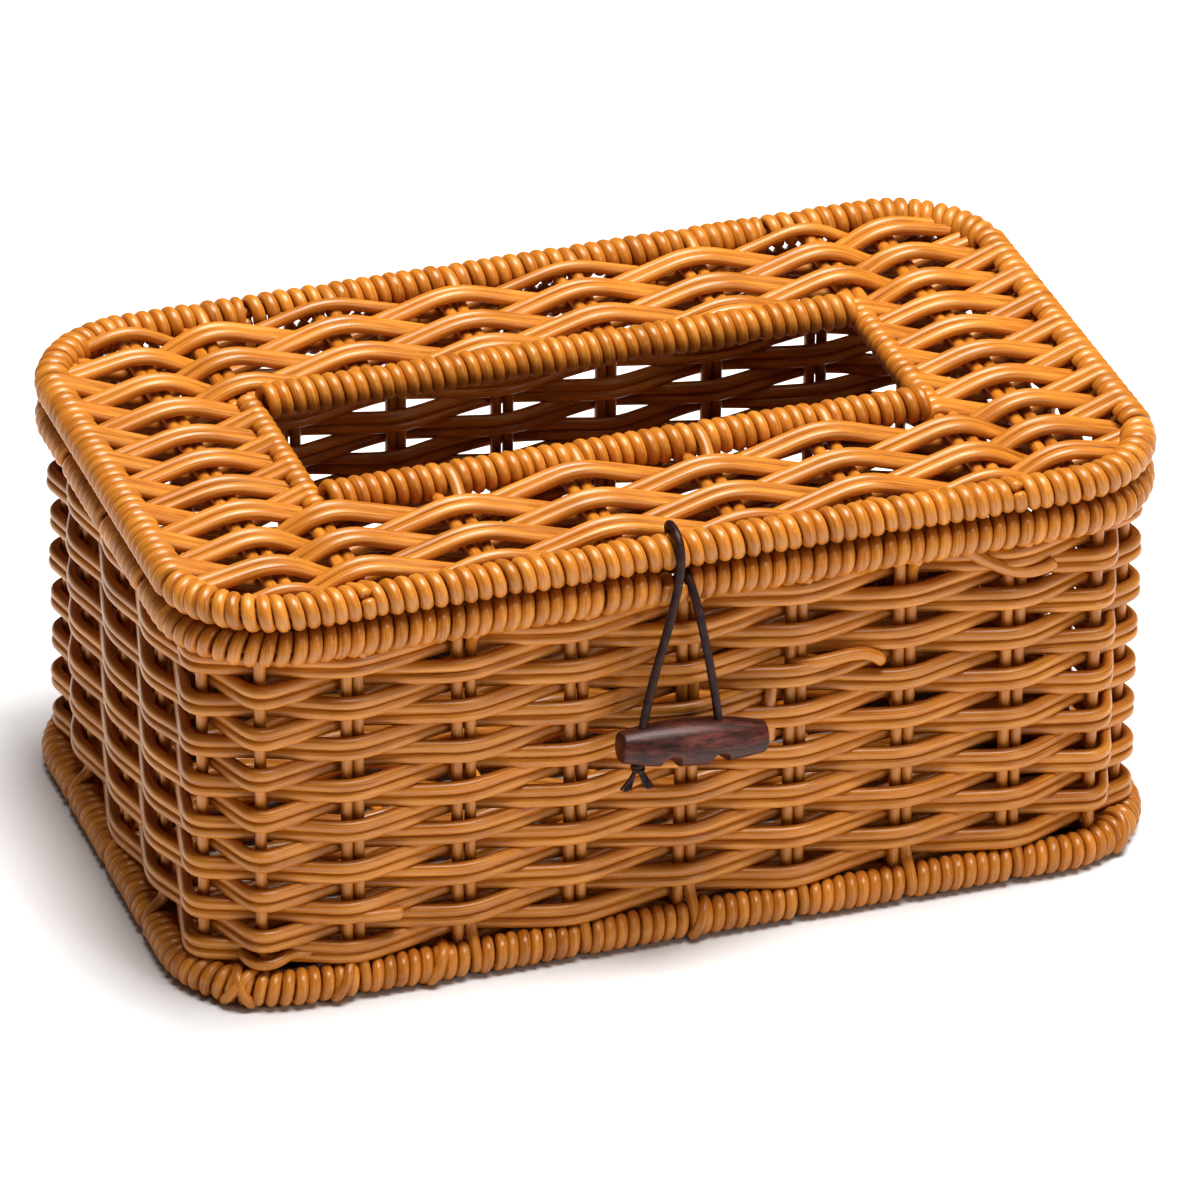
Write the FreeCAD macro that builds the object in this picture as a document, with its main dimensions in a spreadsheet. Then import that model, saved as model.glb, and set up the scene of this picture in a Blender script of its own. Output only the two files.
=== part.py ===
import FreeCAD, Part
import Sketcher
import math
import os
from FreeCAD import Placement, Rotation, Vector

# Woven tissue box cover: an open-weave basket, a hinged lid with a dispensing slot in it,
# and a wooden toggle that hangs from the lid on a cord.
# Millimetres. The origin is on the floor under the middle, the front faces -Y and +Z is up.

SIZES = (
    ("length", 260.0, "over the rims, left to right"),
    ("width", 158.0, "over the rims, front to back"),
    ("height", 116.0, "floor to the top of the lid rim"),
    ("corner_radius", 26.0, "rim corners, to the middle of the rim"),
    ("rim_diameter", 9.5, "over the turns that wrap a rim"),
    ("core_diameter", 2.8, "rod inside a rim"),
    ("turn_pitch", 3.5, "from one turn of a rim to the next"),
    ("turn_groove", 0.9, "depth of the groove between turns"),
    ("foot_flat", 1.0, "how far the turns of the foot are worn flat"),
    ("lid_gap", 0.4, "between the lid rim and the basket rim"),
    ("seat_gap", 0.12, "between pieces that bear on each other"),
    ("swing_gap", 0.3, "between pieces that move past each other"),
    ("stake_diameter", 3.0, "upright rods of the walls and cross rods of lid and floor"),
    ("strand_depth", 3.2, "woven strand, across the weave"),
    ("strand_width", 2.8, "woven strand of the walls, up and down"),
    ("flat_strand_width", 3.1, "woven strand of lid and floor, front to back"),
    ("strand_ridge", 1.2, "how far the outer side of a strand stands out of its edges"),
    ("row_gap", 0.1, "between a strand and the next one"),
    ("flat_row_gap", 0.1, "between the strands of lid and floor"),
    ("wall_inset", 2.75, "middle of the wall, inside the middle of the rim"),
    ("corner_stake_angle", 25.0, "corner stake, round the corner from the end of its wall"),
    ("corner_step", 0.8, "last interval of a wall as a share of the others"),
    ("lid_drop", 1.1, "middle of the lid weave, below the middle of the lid rim"),
    ("lid_margin", 3.3, "open strip between the lid rim and the first row"),
    ("slot_end", 52.5, "end of the cover to the clear opening"),
    ("slot_width", 42.4, "clear opening, front to back"),
    ("slot_offset", 0.2, "middle of the slot, behind the middle of the lid"),
    ("slot_rim_diameter", 9.5, "over the turns that wrap the long sides of the slot"),
    ("slot_side_diameter", 7.0, "over the turns that wrap the short sides of the slot"),
    ("slot_rise", 2.4, "middle of the long sides of the slot, above the middle of the lid weave"),
    ("slot_rod_diameter", 3.0, "rod inside a slot rim"),
    ("floor_lift", 0.6, "weave of the floor, above the ground"),
    ("floor_margin", 4.0, "open strip between the foot and the first row of the floor"),
    ("floor_pitch", 7.4, "from one row of the floor to the next"),
    ("hinge_inset", 60.0, "end of the cover to the hinge loop"),
    ("loop_diameter", 3.0, "strand of a hinge loop"),
    ("cord_diameter", 2.2, "cord of the pull"),
    ("cord_middle", -3.4, "middle of the cord on the front rim"),
    ("cord_gap", 6.4, "gap between turns of the basket rim for the cord"),
    ("toggle_length", 38.0, "wooden toggle, end to end"),
    ("toggle_diameter", 12.0, "wooden toggle, at its middle"),
    ("toggle_end_diameter", 7.8, "wooden toggle, at its ends"),
    ("toggle_tilt", 5.5, "right end of the toggle, down"),
    ("toggle_hole_diameter", 2.8, "holes that the cord goes through"),
    ("notch_diameter", 5.2, "two carved notches under the toggle"),
    ("notch_spacing", 12.8, "between the carved notches"),
    ("notch_turn", 30.0, "notches turned from straight below to the front"),
    ("knot_diameter", 4.8, "knot under the toggle"),
    ("tail_length", 6.5, "each cord end below the knot"),
    ("tail_flare", 1.2, "frayed tip of a cord end, as a share of the cord"),
)

# Counts of the weave, along the long and the short walls
LONG_STAKES = 7
SHORT_STAKES = 3
MIDDLE_LID_STAKES = 4

# Route of the cord's middle: from the knot up the left leg, round the lid rim, down the right leg.
# Its points, and the middle of the toggle, are told from the middle of the lid's front rim.
CORD_ROUTE = (
    (-16.8, -9.65, -55.05),
    (-16.2, -9.55, -41.25),
    (-5.4, -6.65, -7.25),
    (-5.0, -6.15, 6.15),
    (-4.9, 6.15, 6.15),
    (-2.1, 6.15, -6.15),
    (-1.8, -6.15, -6.15),
    (4.2, -9.55, -41.25),
    (4.5, -9.65, -50.45),
)
CORD_ARC_SHARE = 0.45
TOGGLE_PLACE = (-2.7, -9.65, -49.05)

# How far the two cord ends below the knot lean to the left and to the right, in degrees
TAIL_LEANS = (-16, 14)

# Rounds in which the swing of a strand settles
SWING_ROUNDS = 30

# The bend of one corner, in degrees
QUARTER = 90

doc = FreeCAD.newDocument("TissueBoxCover")
sheet = doc.addObject("Spreadsheet::Sheet", "Sizes")
for line, (alias, value, note) in enumerate(SIZES, start=1):
    sheet.set(f"A{line}", note)
    sheet.set(f"B{line}", str(value))
    sheet.setAlias(f"B{line}", alias)
doc.recompute()


def size(alias):
    return float(sheet.get(alias))


# Places that follow from the sizes, as formulas for the objects and as numbers for the woven pieces
FORMULAS = (
    ("rim_radius", "Sizes.rim_diameter / 2"),
    ("rim_x", "Sizes.length / 2 - Sizes.rim_diameter / 2"),
    ("rim_y", "Sizes.width / 2 - Sizes.rim_diameter / 2"),
    ("straight_x", "rim_x - Sizes.corner_radius"),
    ("straight_y", "rim_y - Sizes.corner_radius"),
    ("lid_z", "Sizes.height - Sizes.rim_diameter / 2"),
    ("top_z", "lid_z - Sizes.rim_diameter - Sizes.lid_gap"),
    ("foot_z", "Sizes.rim_diameter / 2 - Sizes.foot_flat"),
    ("wall_radius", "Sizes.corner_radius - Sizes.wall_inset"),
    ("wall_x", "rim_x - Sizes.wall_inset"),
    ("wall_y", "rim_y - Sizes.wall_inset"),
    ("wall_bottom", "foot_z + rim_radius + Sizes.seat_gap"),
    ("wall_top", "top_z - rim_radius - Sizes.seat_gap"),
    ("corner_x", "straight_x + wall_radius * sin(Sizes.corner_stake_angle * 1deg)"),
    ("corner_y", "straight_y + wall_radius * sin(Sizes.corner_stake_angle * 1deg)"),
    ("corner_inset", "wall_radius * (1 - cos(Sizes.corner_stake_angle * 1deg))"),
    ("long_step", f"2 * corner_x / ({LONG_STAKES - 1} + 2 * Sizes.corner_step)"),
    ("short_step", f"2 * corner_y / ({SHORT_STAKES - 1} + 2 * Sizes.corner_step)"),
    ("lid_weave_z", "lid_z - Sizes.lid_drop"),
    ("slot_rim_radius", "Sizes.slot_rim_diameter / 2"),
    ("slot_side_radius", "Sizes.slot_side_diameter / 2"),
    ("slot_x", "Sizes.length / 2 - Sizes.slot_end + slot_side_radius"),
    ("slot_z", "lid_weave_z + Sizes.slot_rise"),
    ("slot_front", "Sizes.slot_offset - Sizes.slot_width / 2 - slot_rim_radius"),
    ("slot_back", "Sizes.slot_offset + Sizes.slot_width / 2 + slot_rim_radius"),
    ("lid_step", f"2 * slot_x / ({MIDDLE_LID_STAKES} + 1)"),
    ("outer_lid_x", "(slot_x + rim_x - rim_radius) / 2"),
    ("pair_offset", "Sizes.stake_diameter / 2 + Sizes.row_gap / 2"),
    ("outer_lid_bend", "max(outer_lid_x + pair_offset + Sizes.stake_diameter / 2 - straight_x; 0)"),
    ("rim_bend", "Sizes.corner_radius - rim_radius"),
    ("outer_lid_y", "straight_y + sqrt(rim_bend ^ 2 - outer_lid_bend ^ 2) - Sizes.seat_gap"),
    ("hinge_x", "Sizes.length / 2 - Sizes.hinge_inset"),
    ("loop_radius", "Sizes.core_diameter / 2 + Sizes.loop_diameter / 2 + Sizes.swing_gap / 2"),
)
places = doc.addObject("Spreadsheet::Sheet", "Places")
place_names = [name for name, formula in FORMULAS]
for line, (name, formula) in enumerate(FORMULAS, start=1):
    places.set(f"A{line}", name)
    places.set(f"B{line}", "=" + formula.replace("Sizes.", "<<Sizes>>."))
    places.setAlias(f"B{line}", name)
doc.recompute()


def at(name):
    value = places.get(name)
    return float(getattr(value, "Value", value))


def bind(obj, **formulas):
    """Ties properties of an object to the sheets; a double underscore in a name stands for a dot."""
    for name, formula in formulas.items():
        for place in place_names:
            formula = formula.replace("{" + place + "}", f"<<Places>>.{place}")
        for alias, value, note in SIZES:
            formula = formula.replace("{" + alias + "}", f"<<Sizes>>.{alias}")
        obj.setExpression(name.replace("__", "."), formula)


sub_parts = []


def finished(obj, label):
    obj.Label = label
    sub_parts.append(obj)
    return obj


def woven(label, solids):
    """A sub-part whose solids are woven or wrapped forms."""
    obj = doc.addObject("Part::Feature", label)
    obj.Shape = Part.makeCompound(solids) if len(solids) > 1 else solids[0]
    return finished(obj, label)


# Rims: a rod bent into a rounded rectangle, wrapped turn by turn

def origin_plane(body, role):
    return next(item for item in body.Origin.OriginFeatures if item.Role == role)


def attach(sketch, body, role):
    sketch.AttachmentSupport = (origin_plane(body, role), [""])
    sketch.MapMode = "FlatFace"


def constrain(sketch, name, formula, constraint):
    index = sketch.addConstraint(constraint)
    sketch.renameConstraint(index, name)
    bind(sketch, **{f"Constraints__{name}": formula})


def core_path(body):
    """Rounded rectangle along the middle of a rim, starting at the left end of the front."""
    path = body.newObject("Sketcher::SketchObject", "CorePath")
    attach(path, body, "XY_Plane")
    x, y, r = at("rim_x"), at("rim_y"), size("corner_radius")
    corners = ((x - r, r - y), (x - r, y - r), (r - x, y - r), (r - x, r - y))
    ends = (((r - x, -y), (x - r, -y)), ((x, r - y), (x, y - r)),
            ((x - r, y), (r - x, y)), ((-x, y - r), (-x, r - y)))
    for side in range(4):
        start, end = ends[side]
        path.addGeometry(Part.LineSegment(Vector(*start, 0), Vector(*end, 0)))
        circle = Part.Circle(Vector(*corners[side], 0), Vector(0, 0, 1), r)
        first = math.radians(90 * side - 90)
        path.addGeometry(Part.ArcOfCircle(circle, first, first + math.pi / 2))
    for edge in range(8):
        path.addConstraint(Sketcher.Constraint("Tangent", edge, 2, (edge + 1) % 8, 1))
    for edge in (0, 4):
        path.addConstraint(Sketcher.Constraint("Horizontal", edge))
    for edge in (3, 5, 7):
        path.addConstraint(Sketcher.Constraint("Equal", 1, edge))
    constrain(path, "corner", "{corner_radius}", Sketcher.Constraint("Radius", 1, r))
    constrain(path, "front", "{rim_y}", Sketcher.Constraint("DistanceY", 0, 1, -1, 1, y))
    constrain(path, "right", "{rim_x}", Sketcher.Constraint("DistanceX", -1, 1, 2, 1, x))
    constrain(path, "back", "{rim_y}", Sketcher.Constraint("DistanceY", -1, 1, 4, 1, y))
    constrain(path, "left", "{rim_x}", Sketcher.Constraint("DistanceX", 6, 1, -1, 1, x))
    return path


def core(label, height_formula):
    body = doc.addObject("PartDesign::Body", label)
    path = core_path(body)
    section = body.newObject("Sketcher::SketchObject", "CoreSection")
    attach(section, body, "YZ_Plane")
    bind(section, AttachmentOffset__Base__z="-{straight_x}")
    diameter = size("core_diameter")
    section.addGeometry(Part.Circle(Vector(-at("rim_y"), 0, 0), Vector(0, 0, 1), diameter / 2))
    section.addConstraint(Sketcher.Constraint("PointOnObject", 0, 3, -1))
    constrain(section, "rod", "{core_diameter}", Sketcher.Constraint("Diameter", 0, diameter))
    constrain(section, "reach", "{rim_y}", Sketcher.Constraint("DistanceX", 0, 3, -1, 1, at("rim_y")))
    pipe = body.newObject("PartDesign::AdditivePipe", "CorePipe")
    pipe.Profile = section
    pipe.Spine = (path, [])
    bind(body, Placement__Base__z=height_formula)
    return finished(body, label)


def turn_count(run):
    return max(1, round(run / size("turn_pitch")))


def wrapped_run(start, end, outer, bore):
    """Turns along X from start to end: a ribbed sleeve with a bore for its rod."""
    turns = turn_count(end - start)
    step = (end - start) / turns
    groove = outer - size("turn_groove")
    outline = [Vector(start, bore, 0), Vector(start, groove, 0)]
    for turn in range(turns):
        outline.append(Vector(start + (turn + 0.5) * step, outer, 0))
        outline.append(Vector(start + (turn + 1) * step, groove, 0))
    outline.append(Vector(end, bore, 0))
    profile = Part.Face(Part.makePolygon(outline + outline[:1]))
    return profile.revolve(Vector(0, 0, 0), Vector(1, 0, 0), 360)


def wrapped_corner(outer, bore, radius):
    """Turns round a quarter bend about the Z axis, from +X to +Y."""
    gap = math.degrees(size("seat_gap") / 2 / radius)
    turns = turn_count(radius * math.pi / 2)
    step = (QUARTER - 2 * gap) / turns
    rings = []
    for half in range(2 * turns + 1):
        ring_radius = outer if half % 2 else outer - size("turn_groove")
        ring = Part.Wire(Part.makeCircle(ring_radius, Vector(radius, 0, 0), Vector(0, 1, 0)))
        ring.rotate(Vector(0, 0, 0), Vector(0, 0, 1), gap + half * step / 2)
        rings.append(ring)
    turned = Part.makeLoft(rings, True, True)
    return turned.cut(Part.makeTorus(radius, bore, Vector(0, 0, 0), Vector(0, 0, 1), 0, 360, QUARTER))


def without_gaps(start, end, gaps):
    """The stretches from start to end that are left between gaps, given as middle and width."""
    runs = []
    for middle, width in sorted(gaps):
        runs.append((start, middle - width / 2))
        start = middle + width / 2
    runs.append((start, end))
    return runs


def rim_wraps(name, z, front_gaps=(), back_gaps=(), flat=False):
    """The wrapping of one rim: four straight sides, each a node, and four corners in a node."""
    outer = at("rim_radius")
    bore = size("core_diameter") / 2 + size("seat_gap")
    half_gap = size("seat_gap") / 2
    ground = Part.makeBox(2 * size("length"), 2 * size("width"), size("height"),
                          Vector(-size("length"), -size("width"), -size("height")))

    def placed(shapes, turn, middle):
        result = []
        for shape in shapes:
            shape.Placement = Placement(middle, Rotation(Vector(0, 0, 1), turn))
            result.append(shape.cut(ground) if flat else shape)
        return result

    sides = (("front", 0, Vector(0, -at("rim_y"), z), at("straight_x"), front_gaps),
             ("back", 0, Vector(0, at("rim_y"), z), at("straight_x"), back_gaps),
             ("left", 90, Vector(-at("rim_x"), 0, z), at("straight_y"), ()),
             ("right", 90, Vector(at("rim_x"), 0, z), at("straight_y"), ()))
    for side, turn, middle, half, gaps in sides:
        runs = without_gaps(half_gap - half, half - half_gap, gaps)
        sleeves = [wrapped_run(start, end, outer, bore) for start, end in runs]
        woven(f"{name}_wrap_{side}", placed(sleeves, turn, middle))
    corners = []
    for turn, x, y in ((0, 1, 1), (90, -1, 1), (180, -1, -1), (270, 1, -1)):
        corner = wrapped_corner(outer, bore, size("corner_radius"))
        middle = Vector(x * at("straight_x"), y * at("straight_y"), z)
        corners += placed([corner], turn, middle)
    woven(f"{name}_corner_wraps", corners)


# Stakes: straight rods that the strands go over and under

def rod(x, y, z, height, diameter, axis=Vector(0, 0, 1)):
    """A rod from a point along an axis, all given as formulas but the axis."""
    cylinder = doc.addObject("Part::Cylinder", "Rod")
    cylinder.Placement = Placement(Vector(0, 0, 0), Rotation(Vector(0, 0, 1), axis))
    bind(cylinder, Radius=f"{diameter} / 2", Height=height,
         Placement__Base__x=x, Placement__Base__y=y, Placement__Base__z=z)
    return cylinder


def rods(label, members):
    group = doc.addObject("Part::Compound", label)
    group.Links = members
    return finished(group, label)


def wall_stakes(label, along, count, step, corner, wall, side):
    """Pairs of uprights along one wall, and a single one at each end, round the corner."""
    def upright(distance, inset):
        across = f"{side} * ({{{wall}}} - {inset})"
        x, y = (distance, across) if along == "x" else (across, distance)
        return rod(x, y, "{wall_bottom}", "{wall_top} - {wall_bottom}", "{stake_diameter}")

    members = [upright(f"{end} * {{{corner}}}", "{corner_inset}") for end in (-1, 1)]
    for index in range(count):
        middle = f"{index - (count - 1) / 2} * {{{step}}}"
        members += [upright(f"{middle} + {twin} * {{pair_offset}}", "0") for twin in (-1, 1)]
    rods(label, members)


# Strands: faceted rods that zigzag in a plane, with a ridge on their outer side

def side_line(points, distance):
    """The line of points moved to its right by a distance, with mitred bends."""
    legs = [(after - before).normalize() for before, after in zip(points, points[1:])]
    moved = []
    for index, point in enumerate(points):
        before = legs[max(index - 1, 0)]
        after = legs[min(index, len(legs) - 1)]
        normal = Vector(before.y, -before.x, 0)
        across = (normal + Vector(after.y, -after.x, 0)).normalize()
        moved.append(point + across * (distance / across.dot(normal)))
    return moved


def polygon_face(points):
    return Part.Face(Part.makePolygon(points + points[:1]))


def strand(points, width):
    """A strand along points in the plane z = 0, its ridge to the right and its width along Z."""
    half = size("strand_depth") / 2
    up = Vector(0, 0, width / 2)
    ridge = side_line(points, half)
    shoulder = side_line(points, half - size("strand_ridge"))
    inner = side_line(points, -half)
    rails = [ridge, [p + up for p in shoulder], [p + up for p in inner],
             [p - up for p in inner], [p - up for p in shoulder]]
    faces = [polygon_face(rails[1] + rails[2][::-1]), polygon_face(rails[3] + rails[4][::-1])]
    for one, other in ((0, 1), (2, 3), (4, 0)):
        for i in range(len(points) - 1):
            corners = [rails[one][i], rails[one][i + 1], rails[other][i + 1], rails[other][i]]
            faces.append(polygon_face(corners))
    for end in (0, -1):
        faces.append(polygon_face([rail[end] for rail in rails]))
    shell = Part.makeShell(faces)
    shell.sewShape()
    solid = Part.makeSolid(shell)
    if solid.Volume < 0:
        solid.reverse()
    return solid


def bearing():
    """Least distance from the middle of a stake to the middle of a strand that goes round it."""
    return (size("stake_diameter") + size("strand_depth")) / 2 + size("seat_gap")


def swing(rod_offset, interval):
    """How far the middle of a strand leaves the weave's plane to pass a stake and cross to the next."""
    reach = size("stake_diameter")
    for attempt in range(SWING_ROUNDS):
        slope = 2 * reach / interval
        reach = bearing() * math.sqrt(1 + slope ** 2) + slope * rod_offset
    return reach


def wall_rows():
    """The height of each row's middle; taller walls take more rows."""
    clear = at("wall_top") - at("wall_bottom")
    count = int(clear // (2 * size("strand_width") + 2 * size("row_gap")))
    pitch = clear / count
    return [at("wall_bottom") + (row + 0.5) * pitch for row in range(count)]


def wall_stake_places():
    """The stakes of each wall, going round from the front left: place, outward direction and rods."""
    angle = math.radians(size("corner_stake_angle"))
    sine, cosine = math.sin(angle), math.cos(angle)
    walls = []
    for turn in range(4):
        long_wall = turn % 2 == 0
        count = LONG_STAKES if long_wall else SHORT_STAKES
        step = at("long_step") if long_wall else at("short_step")
        corner = at("corner_x") if long_wall else at("corner_y")
        wall = at("wall_y") if long_wall else at("wall_x")
        ends = [Vector(side * corner, at("corner_inset") - wall, 0) for side in (-1, 1)]
        stakes = [(ends[0], Vector(-sine, -cosine, 0), [ends[0]])]
        for index in range(count):
            place = Vector((index - (count - 1) / 2) * step, -wall, 0)
            twins = [place + Vector(twin * at("pair_offset"), 0, 0) for twin in (-1, 1)]
            stakes.append((place, Vector(0, -1, 0), twins))
        stakes.append((ends[1], Vector(sine, -cosine, 0), [ends[1]]))
        spin = Rotation(Vector(0, 0, 1), QUARTER * turn)
        walls.append([(spin.multVec(place), spin.multVec(out), [spin.multVec(twin) for twin in twins])
                      for place, out, twins in stakes])
    return walls


def wall_bends(stakes, parity):
    """Bends of a strand, outside and inside by turns, as far out as it takes to clear the rods."""
    sides = [1 if (index + parity) % 2 else -1 for index in range(len(stakes))]
    reach = [bearing() for stake in stakes]
    for attempt in range(SWING_ROUNDS):
        bends = [place + out * (sides[index] * reach[index])
                 for index, (place, out, twins) in enumerate(stakes)]
        for index, (place, out, twins) in enumerate(stakes):
            bend = bends[index]
            legs = [bends[index - 1] - bend, bends[(index + 1) % len(bends)] - bend]
            room = min(twin.distanceToLine(bend, leg) for twin in twins for leg in legs)
            reach[index] += bearing() - room
    return bends


def wall_strands(parity):
    """One strand of a row as its four wall lengths, parted half way round each corner."""
    walls = wall_stake_places()
    bends = iter(wall_bends([stake for wall in walls for stake in wall], parity))
    loop = [[next(bends) for stake in wall] for wall in walls]
    lengths = []
    for index, points in enumerate(loop):
        before = loop[index - 1][-1]
        after = loop[(index + 1) % 4][0]
        first = (before + points[0]) / 2
        last = (after + points[-1]) / 2
        first += (points[0] - before).normalize() * (size("seat_gap") / 2)
        last -= (after - points[-1]).normalize() * (size("seat_gap") / 2)
        lengths.append(strand([first] + points + [last], size("strand_width")))
    return lengths


def moved(solid, x, y, z):
    copy = solid.copy()
    copy.translate(Vector(x, y, z))
    return copy


def weave_walls():
    samples = (wall_strands(0), wall_strands(1))
    step = (size("strand_width") + size("row_gap")) / 2
    for row, z in enumerate(wall_rows()):
        solids = [moved(length, 0, 0, z + twin * step) for twin in (-1, 1) for length in samples[row % 2]]
        woven(f"weave_row_{row + 1:02d}", solids)


def rim_inside(y):
    """How far along X the inside of a rim is from the middle, at a distance y from the middle."""
    inside = size("corner_radius") - at("rim_radius")
    over = max(abs(y) - at("straight_y"), 0)
    return at("straight_x") + math.sqrt(inside ** 2 - over ** 2)


def flat_strand(points, y, z):
    """A strand of the lid or the floor, along points of x and height, from left to right."""
    solid = strand([Vector(x, rise, 0) for x, rise in reversed(points)], size("flat_strand_width"))
    solid.rotate(Vector(0, 0, 0), Vector(1, 0, 0), 90)
    return moved(solid, 0, y, z)


def row_places(start, end):
    """The middles of the two strands of each row that fits between start and end."""
    clear = end - start
    twin = size("flat_strand_width") + size("flat_row_gap")
    count = int(clear // (2 * twin))
    pitch = clear / count
    return [[start + (row + 0.5) * pitch + side * twin / 2 for side in (-1, 1)] for row in range(count)]


def lid_weave():
    """Rows of the lid: whole ones in front of and behind the slot, short ones on either side of it."""
    outer, slot = at("outer_lid_x"), at("slot_x")
    middles = [(index - (MIDDLE_LID_STAKES - 1) / 2) * at("lid_step") for index in range(MIDDLE_LID_STAKES)]
    stakes = [-outer, -slot] + middles + [slot, outer]
    reach = swing(at("pair_offset"), outer - slot)
    slope = 2 * reach / (outer - slot)
    edge = at("rim_y") - at("rim_radius") - size("lid_margin")
    slot_edge = at("slot_rim_radius") + size("seat_gap")
    end_gap = size("seat_gap") + size("strand_depth") / 2 * slope
    row_count = 0

    def zigzag(stops, first_side, left, right):
        """Heights at the stakes, and at the two ends as far on as the slope carries the strand."""
        heights = [(x, reach * (first_side if i % 2 == 0 else -first_side)) for i, x in enumerate(stops)]
        last_side = first_side if len(stops) % 2 else -first_side
        start = first_side * max(reach - slope * (stops[0] - left), -reach)
        end = last_side * max(reach - slope * (right - stops[-1]), -reach)
        return [(left, start)] + heights + [(right, end)]

    strips = {"front": row_places(-edge, at("slot_front") - slot_edge),
              "middle": row_places(at("slot_front") - slot_edge, at("slot_back") + slot_edge),
              "back": row_places(at("slot_back") + slot_edge, edge)}
    solids = {"front": [], "left": [], "right": [], "back": []}
    for strip, rows in strips.items():
        for row in rows:
            side = 1 if row_count % 2 else -1
            row_count += 1
            for y in row:
                reach_x = rim_inside(abs(y) + size("flat_strand_width") / 2) - end_gap
                z = at("lid_weave_z")
                if strip != "middle":
                    solids[strip].append(flat_strand(zigzag(stakes, side, -reach_x, reach_x), y, z))
                    continue
                near = slot + at("slot_side_radius") + end_gap
                solids["left"].append(flat_strand(zigzag([-outer], side, -reach_x, -near), y, z))
                solids["right"].append(flat_strand(zigzag([outer], -side, near, reach_x), y, z))
    for strip, strands in solids.items():
        woven(f"lid_weave_{strip}", strands)


def lid_stakes():
    """Pairs of cross rods: whole ones at both ends of the lid, short ones before and behind the slot."""
    rim = "({rim_y} - {rim_radius} - {seat_gap})"
    members = []

    def cross_pair(x, start, end):
        for twin in (-1, 1):
            members.append(rod(f"{x} + {twin} * {{pair_offset}}", start, "{lid_weave_z}",
                               f"{end} - ({start})", "{stake_diameter}", Vector(0, 1, 0)))

    for end in (-1, 1):
        cross_pair(f"{end} * {{outer_lid_x}}", "-{outer_lid_y}", "{outer_lid_y}")
    for index in range(MIDDLE_LID_STAKES):
        x = f"{index - (MIDDLE_LID_STAKES - 1) / 2} * {{lid_step}}"
        cross_pair(x, f"-{rim}", "{slot_front} - {slot_rim_radius} - {seat_gap}")
        cross_pair(x, "{slot_back} + {slot_rim_radius} + {seat_gap}", rim)
    rods("lid_stakes", members)


def slot_frame():
    """Two rods across the lid and two between them, wrapped where they edge the slot."""
    rim = "({rim_y} - {rim_radius} - {seat_gap})"
    across = [rod(f"{end} * {{slot_x}}", f"-{rim}", "{lid_weave_z}", f"2 * {rim}",
                  "{slot_rod_diameter}", Vector(0, 1, 0)) for end in (-1, 1)]
    rods("slot_side_rods", across)
    reach = "({slot_x} - {slot_side_radius} - {seat_gap})"
    along = [rod(f"-{reach}", y, "{slot_z}", f"2 * {reach}",
                 "{slot_rod_diameter}", Vector(1, 0, 0)) for y in ("{slot_front}", "{slot_back}")]
    rods("slot_long_rods", along)
    outer = at("slot_rim_radius")
    bore = size("slot_rod_diameter") / 2 + size("seat_gap")
    side_outer = at("slot_side_radius")
    half = at("slot_x") - side_outer - size("seat_gap")
    for side, y in (("front", at("slot_front")), ("back", at("slot_back"))):
        sleeve = wrapped_run(-half, half, outer, bore)
        sleeve.translate(Vector(0, y, at("slot_z")))
        woven(f"slot_wrap_{side}", [sleeve])
    for side, x in (("left", -at("slot_x")), ("right", at("slot_x"))):
        sleeve = wrapped_run(at("slot_front") - outer, at("slot_back") + outer, side_outer, bore)
        sleeve.Placement = Placement(Vector(x, 0, at("lid_weave_z")), Rotation(Vector(0, 0, 1), 90))
        woven(f"slot_wrap_{side}", [sleeve])


def floor():
    """Cross rods under the walls' stakes, and single strands woven through them."""
    reach = swing(0, at("long_step"))
    depth = size("strand_depth") / 2 * math.sqrt(1 + (2 * reach / at("long_step")) ** 2)
    z = size("floor_lift") + reach + depth
    rim = "({rim_y} - {rim_radius} - {seat_gap})"
    members = []
    for index in range(LONG_STAKES):
        x = f"{index - (LONG_STAKES - 1) / 2} * {{long_step}}"
        members.append(rod(x, f"-{rim}", f"{z}", f"2 * {rim}", "{stake_diameter}", Vector(0, 1, 0)))
    rods("floor_stakes", members)
    edge = at("rim_y") - at("rim_radius") - size("floor_margin") - size("flat_strand_width") / 2
    count = int(2 * edge // size("floor_pitch")) + 1
    stops = [(index - (LONG_STAKES - 1) / 2) * at("long_step") for index in range(LONG_STAKES)]
    strands = []
    for row in range(count):
        y = -edge + row * 2 * edge / (count - 1)
        side = 1 if row % 2 else -1
        end = rim_inside(abs(y) + size("flat_strand_width") / 2) - size("seat_gap")
        rise = at("foot_z") - z
        points = [(x, reach * (side if i % 2 else -side)) for i, x in enumerate(stops)]
        strands.append(flat_strand([(-end, rise)] + points + [(end, rise)], y, z))
    woven("floor_weave", strands)


# Hinge: two loops of strand that hold the back rims of lid and basket together

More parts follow.
